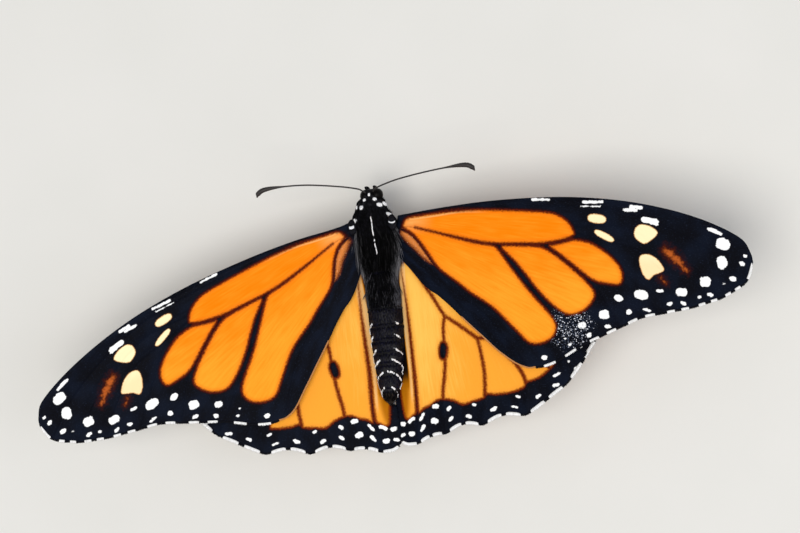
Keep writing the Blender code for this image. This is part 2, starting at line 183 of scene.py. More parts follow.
# Veins as a list of points, with the half width at their first and last point.
FORE_VEINS = [
    ([(1.9, 0.2), (3, 0.04), (7.1, -0.48), (11, -0.97), (14, -1.12), (17.5, -0.9), (20.9, -0.65),
      (23.3, -0.05), (25.2, 0.65)], -0.04, 0.16),  # cubital
    ([(14, -1.2), (15.45, -2.55), (17.3, -4.3), (19.7, -6.5), (21.8, -8.4), (23.6, -10.1), (27.7, -13.3)],
     0.12, 0.3),  # second cubitus
    ([(20.9, -0.8), (22.3, -1.5), (24.5, -2.75), (27, -4.4), (29.2, -5.9), (32.8, -10.6)], 0.12, 0.3),
    ([(25.2, 0.65), (29.5, -0.3), (33, -3.4), (38, -8.3)], 0.15, 0.2),
    ([(25.4, 1), (30, 0.15), (34.5, -0.6), (39, -3.6), (42.4, -7.1)], 0.15, 0.2),
    ([(25, 1.8), (31, 2.3), (37, 0.5), (42, -2.2), (45.9, -5.5)], 0.15, 0.2),
    ([(-0.5, 1.4), (6, 2.75), (13, 3.7), (22, 4.35), (30, 4.4), (37, 3), (43.5, 0.4), (48.8, -3.2)],
     0.15, 0.2),  # radius
    ([(-0.4, 1.7), (6, 3), (13, 4.2), (22, 5.1), (28, 5.4)], 0.15, 0.15),  # subcosta
    ([(0, -0.2), (1.1, -0.5), (2.2, -1.25), (3.3, -2.3), (4.4, -3.5), (5.7, -4.9), (9, -7.5), (14, -10.8),
      (18, -14.5), (20.3, -16.9)], 0.1, 0.2),  # anal vein
]
# Spots as (outward, forward, half length, half width, turn in degrees). They are between round and square.
SPOT_SQUARENESS = 2.4
FORE_CREAM = [(27.95, 3.28, 1.32, 0.6, -3), (29.2, 1.15, 1.52, 0.43, -21)]
FORE_CREAM_DROPS = {
    "upper": [(33.3, 2), (33.5, 2.6), (34.1, 3), (35.1, 2.95), (36, 2.6), (36.5, 2.1), (36.05, 1.35),
              (35.3, 0.75), (34.7, 0.55), (33.9, 0.9), (33.4, 1.4)],
    "lower": [(34.3, -1.3), (34.7, -0.85), (35.6, -0.75), (36.6, -1.15), (37.35, -1.8), (37.85, -2.55),
              (37.3, -3), (36.5, -3.35), (35.8, -4), (35.15, -3.6), (34.7, -2.9), (34.4, -2.1)],
}
# Bars are the same with square ends.
BAR_SQUARENESS = 6.0
FORE_BARS = [(19.8, 5.2, 1.4, 0.2, 4), (27.2, 5.4, 1.5, 0.2, 4), (26.9, 4.8, 1.45, 0.13, 4),
             (33.25, 5.12, 0.95, 0.25, -1), (32.5, 4.72, 1.05, 0.27, 2), (35.4, 3.45, 1.22, 0.36, -7),
             (35.2, 3.62, 1.1, 0.34, -3)]
FORE_WHITE = [
    (44.1, 2.85, 1.1, 0.3, -18), (45.4, 1.35, 1, 0.78, -12), (45.5, -1, 0.72, 0.86, 20),
    (43.5, -3.6, 0.78, 0.7, 0), (40.4, -5.2, 0.8, 0.58, 0), (35, -6, 1.02, 0.66, -8),
    (31.9, -6.7, 0.66, 0.44, -12), (30.1, -9, 0.78, 0.66, 10), (27.1, -10.7, 0.62, 0.46, 15),
    (24.9, -12.6, 0.22, 0.16, 0), (25.6, -13.3, 0.34, 0.18, 10), (22.2, -15.35, 0.5, 0.35, 5),
    (48.4, 0.1, 0.32, 0.22, -10), (48.1, -0.9, 0.4, 0.3, -40), (47.1, -2.9, 0.5, 0.33, -8),
    (46, -3.65, 0.22, 0.17, 0), (44.3, -5.2, 0.5, 0.27, -8), (42.9, -5.6, 0.3, 0.24, 0),
    (40.7, -6.55, 0.55, 0.23, -12), (38.9, -6.85, 0.4, 0.31, 30), (37.5, -5.3, 0.5, 0.23, 0),
    (35.9, -7.9, 0.62, 0.23, -9), (33.5, -8.4, 0.42, 0.38, 45), (30.7, -10.5, 0.56, 0.28, 2),
    (28.2, -11.8, 0.42, 0.33, 30),
]
FORE_RUST = [(38.9, -0.8, 2, 0.8, -36), (40.3, -1.9, 1.2, 0.55, -40), (37.8, -3.9, 0.8, 0.4, -40)]
FORE_FUR = {"fold": [(0, 0.1), (1.3, 0.1), (2.7, -0.7), (3.9, -1.9), (4.9, -3.1), (5.6, -4.4), (4.7, -4.6),
                     (3.4, -3.95), (2.2, -3.05), (1, -2.2), (0.2, -1.5), (-0.4, -0.8)]}
FORE_WORN = [(25.2, -11.4, 2.6, 2.2, -20), (26.4, -9.9, 2.2, 1.2, -30)]
# The radius vein catches the light near the hinge.
FORE_LIT_VEIN = [(0.5, 1.15), (1.5, 1.3), (3, 1.62), (5, 2.05), (7, 2.5), (9, 2.83), (12.5, 3.05)]
FORE_APEX = [(39.5, 1.4, 5.6, 2.6, -12), (37.5, -2.6, 4.2, 2, -20), (45.8, -1.2, 2.6, 2.4, 0)]

# ---------------- markings of the hindwing

HIND_PANES = {
    "inner": [(-1.6, -3), (0.6, -1.6), (1.4, -1.2), (4, 0.2), (9, 0.9), (14.5, 0.3), (20, -2.6), (24.3, -6.6),
              (25.4, -10.3), (24.2, -13.2), (22.7, -15.1), (21.2, -16.9), (19.4, -18.1), (17.6, -18.65),
              (17, -19.3), (15.2, -19.8), (13, -19.9), (11.75, -19.75), (11.2, -20.25), (9.6, -20.6),
              (8.2, -20.9), (7, -20.35), (5.6, -20), (4.5, -20.1), (3.7, -20.5), (3.2, -20.8), (2.5, -21),
              (1.8, -21.5), (0.9, -21.8), (0.2, -22.3), (-0.3, -22.2), (-0.55, -21), (-0.75, -19.5),
              (-1.1, -17.8), (-1.8, -16)],
}
HIND_VEINS = [
    ([(1.2, -0.6), (2.9, -3.2), (4, -5), (4.95, -6.5), (5.8, -8), (6.5, -9.1)], 0.05, 0.07),  # stem
    ([(6.5, -9.1), (6.25, -10), (6.15, -11), (6.1, -12.8), (6.1, -15.2), (5.8, -17.4), (5.45, -19.6),
      (5.4, -24.9)], 0.06, 0.11),  # second cubitus
    ([(6.5, -9.1), (8.6, -10.6), (11, -12.45)], 0.07, 0.09),
    ([(11, -12.45), (11.4, -14.6), (11.65, -17), (11.55, -19.5), (10.9, -24.1)], 0.07, 0.11),
    ([(11, -12.45), (12.6, -12.7), (14.6, -14.5), (16.5, -16.6), (17.5, -19), (17.3, -23.2)], 0.08, 0.12),
    ([(12.6, -12.7), (14.2, -11.8), (18, -14.2), (23.2, -19.4)], 0.08, 0.13),
    ([(14.2, -11.8), (15, -8.6), (20.5, -11.4), (26.4, -16)], 0.08, 0.13),
    ([(15, -8.6), (13.6, -4.6), (20, -6.4), (27.5, -10.6)], 0.08, 0.13),
    ([(13.6, -4.6), (9, -1.6), (3.5, -0.3)], 0.07, 0.07),
    ([(2, 0.2), (9, 0.7), (16, -1.2), (23.5, -5.2), (28, -9.2)], 0.08, 0.13),
    ([(0.55, -2.4), (0.95, -6.8), (1.1, -9.5)], -0.14, 0.06),  # anal vein
    ([(1.1, -9.5), (1.18, -11), (1.36, -15), (1.46, -18), (1.47, -21.6), (1.4, -25.8)], 0.06, 0.23),
]
HIND_WHITE = [
    (-0.8, -23.1, 0.5, 0.34, 0), (0.5, -22.65, 0.7, 0.3, 30), (2.1, -22.3, 0.68, 0.25, 55),
    (4.2, -21.05, 0.56, 0.35, 0), (6.15, -21.45, 0.43, 0.29, 35), (9.8, -21.2, 0.36, 0.23, -10),
    (16.2, -20.6, 0.42, 0.22, -15), (19.1, -20.75, 0.46, 0.28, 38), (21.7, -19.45, 0.55, 0.25, 8),
    (21.9, -18.1, 0.58, 0.25, 18), (23.7, -16.5, 0.2, 0.2, 0), (25.6, -14.6, 0.36, 0.24, 60),
    (26.6, -11.8, 0.3, 0.24, 80), (-0.9, -24.55, 0.42, 0.27, 20), (0.4, -24.5, 0.52, 0.4, 0),
    (2.1, -23.8, 0.62, 0.27, 55), (3.85, -23, 0.6, 0.43, -12), (6.25, -22.9, 0.54, 0.25, 42),
    (8.95, -22.7, 0.5, 0.32, -22), (12.6, -21.95, 0.54, 0.28, 26), (15.6, -21.9, 0.54, 0.22, -10),
    (24.6, -17.4, 0.3, 0.2, 40), (26.9, -13.2, 0.3, 0.2, 70),
]
HIND_SCENT = [(5.92, -13.7, 1.18, 0.6, 84)]
# Where the hindwing's fold is painted golden brown as shade.
HIND_FOLD_SHADE = [(-0.6, -19.6, 3.6, 0.8, 84)]

# ---------------- markings of the body

# White scale spots on the upper side, as (x, y, half length, half width, turn in degrees).
HEAD_WHITE = [(-0.34, 5, 0.12, 0.11, 0), (-1, 4.35, 0.15, 0.12, 20), (0.3, 4.3, 0.21, 0.13, 0)]
THORAX_WHITE = [
    (-1.45, 3.38, 0.23, 0.2, 5), (0.82, 3.5, 0.3, 0.17, -25), (-2.2, 3.5, 0.1, 0.15, 0),
    (1.3, 3.58, 0.25, 0.1, -62), (-2.66, 1.68, 0.31, 0.19, 50), (1.8, 2, 0.34, 0.13, -38),
    (-0.2, 1.3, 0.045, 0.72, 3), (-0.16, 0, 0.055, 0.75, 3), (-0.1, -1.15, 0.045, 0.1, 0),
    (-0.07, -1.9, 0.045, 0.32, 3), (-0, -2.65, 0.04, 0.36, 3),
]
# White spots low on each side, as (y, z, half length, half height, turn in degrees).
SIDE_WHITE = [
    (4.3, -1.15, 0.16, 0.13, 0), (2.7, -1.75, 0.3, 0.2, 20), (1.5, -2.35, 0.34, 0.2, -15),
    (0.2, -1.8, 0.26, 0.18, 0), (-0.5, -2.9, 0.3, 0.2, 10), (-1.7, -2.05, 0.3, 0.18, 0),
    (-3.1, -2.5, 0.3, 0.18, -20), (-4.2, -1.6, 0.24, 0.14, 0), (-6.6, -1.9, 0.26, 0.12, 12),
    (-9, -1.8, 0.26, 0.12, 12), (-11.5, -1.75, 0.26, 0.12, 12), (-13.7, -1.7, 0.26, 0.12, 12),
    (-15.6, -1.65, 0.26, 0.12, 12), (-17.2, -1.6, 0.24, 0.11, 12), (-18.7, -1.5, 0.22, 0.1, 12),
    (-20.4, -1.35, 0.2, 0.1, 12),
]
# White arcs on the abdomen: y at the middle, first and last angle from the top on each side, in degrees.
ABDOMEN_ARCS = [(-11.9, 38, 62, 0.8), (-13.6, 40, 66, 0.9), (-15.5, 32, 72, 1), (-17.1, 22, 78, 1),
                (-18.85, 4, 82, 1.1), (-20.85, 18, 84, 1.1)]
ARC_HALF_WIDTH = 0.065
SIDE_STREAK = 0.9  # each arc turns rearward at its lower end, for this far

# ---------------- legs, feelers and mouth

# Each leg's hip, knee and ankle, then the start and end of its sole, which lies on the floor.
LEGS = {
    "midleg": [(1.6, 0.1, -4.35), (5.4, 0.7, -2.9), (8.4, 0.2, -7.1), (9.4, 0), (12.2, -0.6)],
    "hindleg": [(1.5, -2.5, -4.4), (4.5, -6.3, -3.3), (6, -11.7, -7.1), (6.5, -12.9), (7.8, -17)],
}
LEG_PROFILES = {"femur": ([0, 0.25, 0.7, 1], [0.3, 0.42, 0.34, 0.22]),
                "tibia": ([0, 0.15, 0.8, 1], [0.22, 0.25, 0.2, 0.21])}
HINGE_HEIGHT = 8.6
FLOOR_CLEARANCE = 0.02
# Mouth feelers, black with a paler nap, and brush feet, the folded forelegs that a monarch doesn't walk on:
# seed, name of the core, its material and slot, path, radii at shares of it, steps along and around, and
# the hair's radii, count, length, width, rise and colours.
SMALL_LIMBS = {
    "palp": (3, "core", "chitin", "body_hair", [(0.48, 5.35, -1.85), (0.55, 5.9, -1.35), (0.58, 6.05, -0.75)],
             ([0, 0.4, 0.75, 1], [0.18, 0.22, 0.17, 0.07]), 24, 20,
             ((0.2, 0.22, 0.1), 700, 0.26, 0.05, 0.45, ("#0A0A0E", "#3A3A42", 2.5))),
    "foreleg": (6, "chitin", "leg", "leg",
                [(0.6, 0.6, -4.35), (0.7, 2, -4.1), (0.75, 3.2, -3.5), (0.65, 3.9, -2.8)],
                ([0, 0.3, 0.7, 1], [0.24, 0.27, 0.2, 0.12]), 40, 16,
                ((0.24, 0.27, 0.2, 0.12), 700, 0.3, 0.05, 0.4, ("#0B0B0F", "#45444C", 2.0))),
}
ANTENNA = {
    "R": [(0.2, 5.35, 0.4), (0.5, 5.6, 0.8), (1.7, 5.98, 1.45), (4.5, 6.5, 2.2), (8.5, 6.9, 2.8),
          (12.2, 7.1, 3.2), (14.1, 7.05, 3.3), (14.9, 6.7, 3.25), (15.25, 6.15, 3.1)],
    "L": [(-0.85, 5.3, 0.45), (-1.15, 5.6, 0.85), (-1.75, 5.98, 1.3), (-4.2, 6.6, 2.1), (-8.3, 7.3, 2.9),
          (-11.9, 7.5, 3.5), (-13.9, 7.4, 3.8), (-14.8, 7.05, 3.8), (-15.2, 6.5, 3.65)],
}
ANTENNA_RINGS = 46
ANTENNA_RADIUS = 0.105
CLUB_RADIUS = 0.33
COIL_CENTRE = (0, 5.2, -3.1)
COIL_RADII = (0.35, 0.95)
COIL_TURNS = 1.2
COIL_END = math.radians(100)

# ---------------- stage

FLOOR_SIZE = 4.0  # metres
# Degrees, then millimetres.
CAMERA = {"turn": -5.45, "lean": 15.89, "roll": 6.88, "distance": 344.7, "look_at": (2.58, -5.11, 0),
          "lens": 115.2}
# Name, place and size in metres, watts and colour.
LIGHTS = [("key", (0, -0.2, 1.08), 0.7, 8.2, "#FFF9F0"), ("fill", (0.7, -0.2, 0.7), 0.7, 2.4, "#F2F6FF")]


# ---------------- curves and tables

def unit(v):
    return v / np.maximum(np.linalg.norm(v, axis=-1, keepdims=True), 1e-9)


def ease(low, high, x):
    """0 below low, 1 above high, and 3t^2 - 2t^3 between."""
    t = np.clip((x - low) / (high - low), 0, 1)
    return t * t * (3 - 2 * t)


def arc_length(line):
    """How far along a line of points each point is."""
    return np.r_[0, np.cumsum(np.linalg.norm(np.diff(line, axis=0), axis=1))]


def round_angles(count):
    return np.arange(count) / count * 2 * math.pi


def read_at(at, places, table):
    """Every column of a table whose rows are at these places, read at others."""
    return np.column_stack([np.interp(at, places, column) for column in table.T])


def catmull_rom(before, here, after, beyond, t):
    """The cubic from here to after that leaves each along the line between its neighbours."""
    return 0.5 * (2 * here + (after - before) * t + (2 * before - 5 * here + 4 * after - beyond) * t ** 2
                  + (3 * here - before - 3 * after + beyond) * t ** 3)


def smooth_path(points, count):
    """A Catmull-Rom curve through the points, as count + 1 points evenly spaced along it."""
    p = np.array(points, float)
    p = np.vstack([2 * p[0] - p[1], p, 2 * p[-1] - p[-2]])[:, None]
    t = np.linspace(0, 1, 24)[:, None]
    line = catmull_rom(p[:-3], p[1:-2], p[2:-1], p[3:], t).reshape(-1, p.shape[-1])
    length = arc_length(line)
    return read_at(np.linspace(0, length[-1], count + 1), length, line)


def closed_curve(points):
    """A closed Catmull-Rom curve through the points, with five steps between each pair."""
    p = np.array(points, float)[:, None]
    before, here, after, beyond = (np.roll(p, shift, axis=0) for shift in (1, 0, -1, -2))
    return catmull_rom(before, here, after, beyond, (np.arange(5) / 5)[:, None]).reshape(-1, 2)


def along(table, y, column):
    """Smoothly reads one column of a (y, ...) table at y. The table runs from front to rear."""
    line = smooth_path(table, 160)[::-1]
    return np.interp(y, line[:, 0], line[:, column])


def spine_x(y):
    return along(SPINE, y, 1)


def on_body(points, side):
    """Points given from the body's midline on the right, moved to either side of the bent spine."""
    return np.array([(side * x + float(spine_x(y)), y, z) for x, y, z in points])


def box_middle(node):
    low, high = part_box(node)
    return (np.array(low) + np.array(high)) / (2 * MM)


# Where the zero of these sizes lies in the frame, from the two tegulae.
ZERO = (box_middle("tegula_R") + box_middle("tegula_L")) / 2 - on_body([(0, *TEGULA_PLACE[1:])], 1)[0]


# ---------------- distances to markings

def distance_to_segments(points, starts, ends):
    """Distance from each point to each segment, and how far along the segment its nearest point is."""
    run, reach = ends - starts, points[:, None] - starts
    share = np.clip((reach * run).sum(-1) / np.maximum((run * run).sum(-1), 1e-12), 0, 1)
    return np.linalg.norm(reach - share[..., None] * run, axis=-1), share


def inside_outlines(points, outlines):
    """Signed distance to the nearest closed outline, positive inside, where a ray to the right crosses it an
    odd number of times."""
    found = []
    for outline in outlines.values():
        starts = closed_curve(outline)
        ends = np.roll(starts, -1, axis=0)
        gap, _ = distance_to_segments(points, starts, ends)
        x, y = points[:, :1], points[:, 1:]
        (x0, y0), (x1, y1) = starts.T, ends.T
        crossing = x0 + (y - y0) / np.where(y1 == y0, 1e-12, y1 - y0) * (x1 - x0)
        odd = (((y0 > y) != (y1 > y)) & (x < crossing)).sum(1) % 2 == 1
        found.append(np.where(odd, 1, -1) * gap.min(1))
    return np.max(found, axis=0)


def vein_field(points, veins):
    """Distance from each point to the nearest vein's middle, and how deep inside any vein it is: the largest
    half width - distance, where the half width runs evenly from a vein's first point to its last."""
    nearest, inside = np.full((2, len(points)), [[99.0], [-99.0]])
    for line, first, last in veins:
        path = smooth_path(line, 5 * len(line))
        gap, share = distance_to_segments(points, path[:-1], path[1:])
        place = (np.arange(len(path) - 1) + share) / (len(path) - 1)
        nearest = np.minimum(nearest, gap.min(1))
        inside = np.maximum(inside, (first + (last - first) * place - gap).max(1))
    return nearest, inside


def inside_spots(points, spots, n=SPOT_SQUARENESS):
    """Signed distance to the nearest spot: (1 - k) / |gradient of k|, where k = (|a|^n + |b|^n)^(1/n) is 1 on
    the spot's edge, and n is the squareness."""
    best = np.full(len(points), -99.0)
    for x, y, half_long, half_wide, turn in spots:
        c, s = math.cos(math.radians(turn)), math.sin(math.radians(turn))
        dx, dy = points[:, 0] - x, points[:, 1] - y
        a, b = np.abs(dx * c + dy * s) / half_long, np.abs(dy * c - dx * s) / half_wide
        k = (a ** n + b ** n) ** (1 / n) + 1e-6
        slope = k ** (1 - n) * np.hypot(a ** (n - 1) / half_long, b ** (n - 1) / half_wide) + 1e-6
        best = np.maximum(best, np.minimum((1 - k) / slope, min(half_long, half_wide)))
    return best


# ---------------- meshes

def put(name, data):
    """Puts an object with this mesh, camera or light into the scene."""
    made = bpy.data.objects.new(name, data)
    bpy.context.scene.collection.objects.link(made)
    return made


ATTRIBUTE_KINDS = {1: ("FLOAT", "value"), 3: ("FLOAT_VECTOR", "vector"), 4: ("FLOAT_COLOR", "color")}


def add_piece(name, points, triangles, material, slot, nodes=(), values=(), places=None):
    mesh = bpy.data.meshes.new(name)
    mesh.vertices.add(len(points))
    points[:, 2] = np.maximum(points[:, 2], FLOOR_CLEARANCE - HINGE_HEIGHT)
    mesh.vertices.foreach_set("co", ((points + ZERO) * MM).astype(np.float32).ravel())
    mesh.loops.add(3 * len(triangles))
    mesh.loops.foreach_set("vertex_index", triangles.astype(np.int32).ravel())
    mesh.polygons.add(len(triangles))
    mesh.polygons.foreach_set("loop_start", np.arange(0, 3 * len(triangles), 3, dtype=np.int32))
    mesh.update(calc_edges=True)
    mesh.shade_smooth()
    for key, value in dict(values).items():
        kind, field = ATTRIBUTE_KINDS[value.size // len(value)]
        mesh.attributes.new(key, kind, "POINT").data.foreach_set(field, value.astype(np.float32).ravel())
    if places is not None:
        layer = mesh.uv_layers.new(name="OFBake")
        layer.data.foreach_set("uv", places[triangles.ravel()].astype(np.float32).ravel())
    mesh.materials.append(MATERIALS[material])
    piece = put(name, mesh)
    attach(piece, "root")
    if nodes:
        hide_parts(*nodes)


def grid_triangles(index):
    """Two triangles for each cell of a table of vertex numbers. Cells that close to a line are left out."""
    a, b, c, d = index[:-1, :-1], index[1:, :-1], index[1:, 1:], index[:-1, 1:]
    triangles = np.vstack([np.stack([a, b, c], -1).reshape(-1, 3), np.stack([a, c, d], -1).reshape(-1, 3)])
    return triangles[~(triangles == np.roll(triangles, 1, axis=1)).any(1)]


def without_loose(points, triangles):
    """Drops points that no triangle uses, and says which are kept."""
    used = np.unique(triangles)
    number = np.zeros(len(points), int)
    number[used] = np.arange(len(used))
    return points[used], number[triangles], used


def closed_rings(rings):
    """Rings of points joined in a table that wraps round, with each end drawn to its middle."""
    rows, around = rings.shape[:2]
    first, last = np.full((2, around), [[rows * around], [rows * around + 1]])
    index = np.vstack([first, np.arange(rows * around).reshape(rows, around), last])
    points = np.vstack([rings.reshape(-1, 3), rings[0].mean(0), rings[-1].mean(0)])
    return points, grid_triangles(np.column_stack([index, index[:, 0]]))


def tube(path, radii, around):
    """A closed tube along a path: each ring is across * cos(a) + up * sin(a), times the radius there."""
    path = np.asarray(path, float)
    ahead = unit(np.gradient(path, axis=0))
    up = UP if abs(ahead[0, 2]) < 0.9 else FORWARD
    ups = []
    for direction in ahead:
        up = unit(up - direction * (up @ direction))
        ups.append(up)
    ups = np.array(ups)
    angle = round_angles(around)
    ring = np.cross(ahead, ups)[:, None] * np.cos(angle)[:, None] + ups[:, None] * np.sin(angle)[:, None]
    points, triangles = closed_rings(path[:, None] + np.asarray(radii, float)[:, None, None] * ring)
    return points, triangles[:, ::-1]


def ball(centre, half, rows, around):
    """An oval ball: centre + half * (cos(v) cos(u), cos(v) sin(u), sin(v))."""
    v = np.linspace(-math.pi / 2, math.pi / 2, rows)[:, None]
    u = round_angles(around)[None]
    grid = np.stack([np.cos(v) * np.cos(u), np.cos(v) * np.sin(u), np.sin(v) * np.ones_like(u)], -1)
    index = np.arange(rows * around).reshape(rows, around)
    index[0], index[-1] = index[0, 0], index[-1, 0]
    triangles = grid_triangles(np.column_stack([index, index[:, 0]]))[:, ::-1]
    return without_loose((grid * np.array(half) + centre).reshape(-1, 3), triangles)[:2]


def join(parts):
    """Joins (points, triangles) pairs into one."""
    points, triangles = zip(*parts)
    offsets = np.cumsum([0, *map(len, points)])
    return np.vstack(points), np.vstack([faces + offset for faces, offset in zip(triangles, offsets)])


# One tuft: a three-sided spike of a root ring, a shoulder ring and a tip. Columns are ring, across and height.
TUFT_FORM = np.array([(0, -0.5, 0), (0, 0.5, 0), (0, 0, 1), (1, -0.5, 0), (1, 0.5, 0), (1, 0, 1), (2, 0, 0)])
TUFT_FACES = np.array([(0, 1, 2), (0, 3, 4), (0, 4, 1), (1, 4, 5), (1, 5, 2), (2, 5, 3), (2, 3, 0),
                       (3, 6, 4), (4, 6, 5), (5, 6, 3)])
# Its place in the coat's unwrap is a small patch of this size at its root's place on the skin's unwrap.
PATCH = 0.003
PATCH_FORM = PATCH * np.array([(-0.5, -0.5), (0.5, -0.5), (0, -0.5), (-0.5, 0.2), (0.5, 0.2), (0, 0.2),
                               (0, 0.5)])


def add_tufts(name, roots, ahead, up, length, width, thick, form, colours, places, slot="body_hair",
              material="hair"):
    """Tapering spikes from each root along ahead. A form is how far along the shoulder is, how wide it is
    there, and how far the tip droops, as shares. The unwrap is at places, from 0 to 1."""
    shoulder, narrow, droop = form
    count, ring = len(roots), TUFT_FORM[:, 0].astype(int)
    ahead = unit(ahead)
    up = unit(up - ahead * (up * ahead).sum(-1, keepdims=True))
    length, width, thick = (np.broadcast_to(v, count)[:, None] for v in (length, width, thick))
    share, slim = np.array([0.0, shoulder, 1.0])[ring], np.array([1.0, narrow, 0.0])[ring]
    points = (roots[:, None] + ahead[:, None] * (share * length)[..., None]
              + np.cross(ahead, up)[:, None] * (TUFT_FORM[:, 1] * slim * width)[..., None]
              + up[:, None] * (TUFT_FORM[:, 2] * slim * thick - droop * length * share ** 2)[..., None])
    triangles = TUFT_FACES + (np.arange(count) * len(ring))[:, None, None]
    coat = np.column_stack([colours, np.ones(count)]).repeat(len(ring), axis=0)
    unwrap = (PATCH + places * (1 - 2 * PATCH))[:, None] + PATCH_FORM
    add_piece(name, points.reshape(-1, 3), triangles.reshape(-1, 3), material, slot, (),
              {"along": np.tile(share, count), "coat": coat}, unwrap.reshape(-1, 2))


# ---------------- materials

def linear(colour):
    """An sRGB hex colour as linear red, green, blue and 1."""
    values = np.array([int(colour[k:k + 2], 16) for k in (1, 3, 5)]) / 255
    flat = np.where(values <= 0.04045, values / 12.92, ((values + 0.055) / 1.055) ** 2.4)
    return (*flat.tolist(), 1.0)


def node(tree, kind, inputs=(), output=0, **settings):
    """Adds a node, or takes the material's own surface, sets its properties, and gives each input a value, a
    hex colour or a link. Returns one of its outputs."""
    surface = kind == "BsdfPrincipled"
    made = tree.nodes["Principled BSDF"] if surface else tree.nodes.new("ShaderNode" + kind)
    for key, value in settings.items():
        setattr(made, key, value)
    for key, value in inputs.items() if isinstance(inputs, dict) else enumerate(inputs):
        if isinstance(value, bpy.types.NodeSocket):
            tree.links.new(value, made.inputs[key])
        else:
            made.inputs[key].default_value = linear(value) if isinstance(value, str) else value
    return made.outputs[output]


def layered(tree, colour, *layers):
    """Lays colours over a first one. Each layer is a colour and an amount of it, or a colour, a value, the low
    and high that the amount eases between, and the most that it reaches if that isn't 1."""
    for over, amount, *ends in layers:
        if ends:
            amount = node(tree, "MapRange", (amount, *ends[:2], 0.0, *(ends[2:] or [1.0])),
                          interpolation_type="SMOOTHSTEP")
        colour = node(tree, "Mix", {0: amount, 6: colour, 7: over}, 2, data_type="RGBA")
    return colour


def weighted(tree, start, *terms):
    """start + the sum of weight * (value - middle). A term is a value, its weight, and its middle if not 0."""
    for value, weight, *middle in terms:
        if middle:
            value = node(tree, "Math", (value, *middle), operation="SUBTRACT")
        start = node(tree, "Math", (value, weight, start), operation="MULTIPLY_ADD")
    return start


def blobs(tree, place, size, detail=2.0, stretch=(1, 1, 1)):
    """Cloudy blobs of about this size, in the units of the place, and stretched by the factors given."""
    scaled = node(tree, "Mapping", {"Vector": place, "Scale": tuple(1 / (size * s) for s in stretch)})
    return node(tree, "TexNoise", {"Vector": scaled, "Scale": 1.0, "Detail": detail})


def new_material(name):
    made = bpy.data.materials.new(name)
    made.use_nodes = True
    return made, made.node_tree


def finish(made, colour, roughness, specular, strength=0.0, depth=0.0, height=0.0, **settings):
    """Sets the material's colour, roughness, specular level and relief, whose depth is in millimetres."""
    tree = made.node_tree
    surface = {"Base Color": colour, "Roughness": roughness, "Specular IOR Level": specular}
    if strength:
        surface["Normal"] = node(tree, "Bump", {"Strength": strength, "Distance": depth * MM, "Height": height},
                                 **settings)
    node(tree, "BsdfPrincipled", surface)
    return made


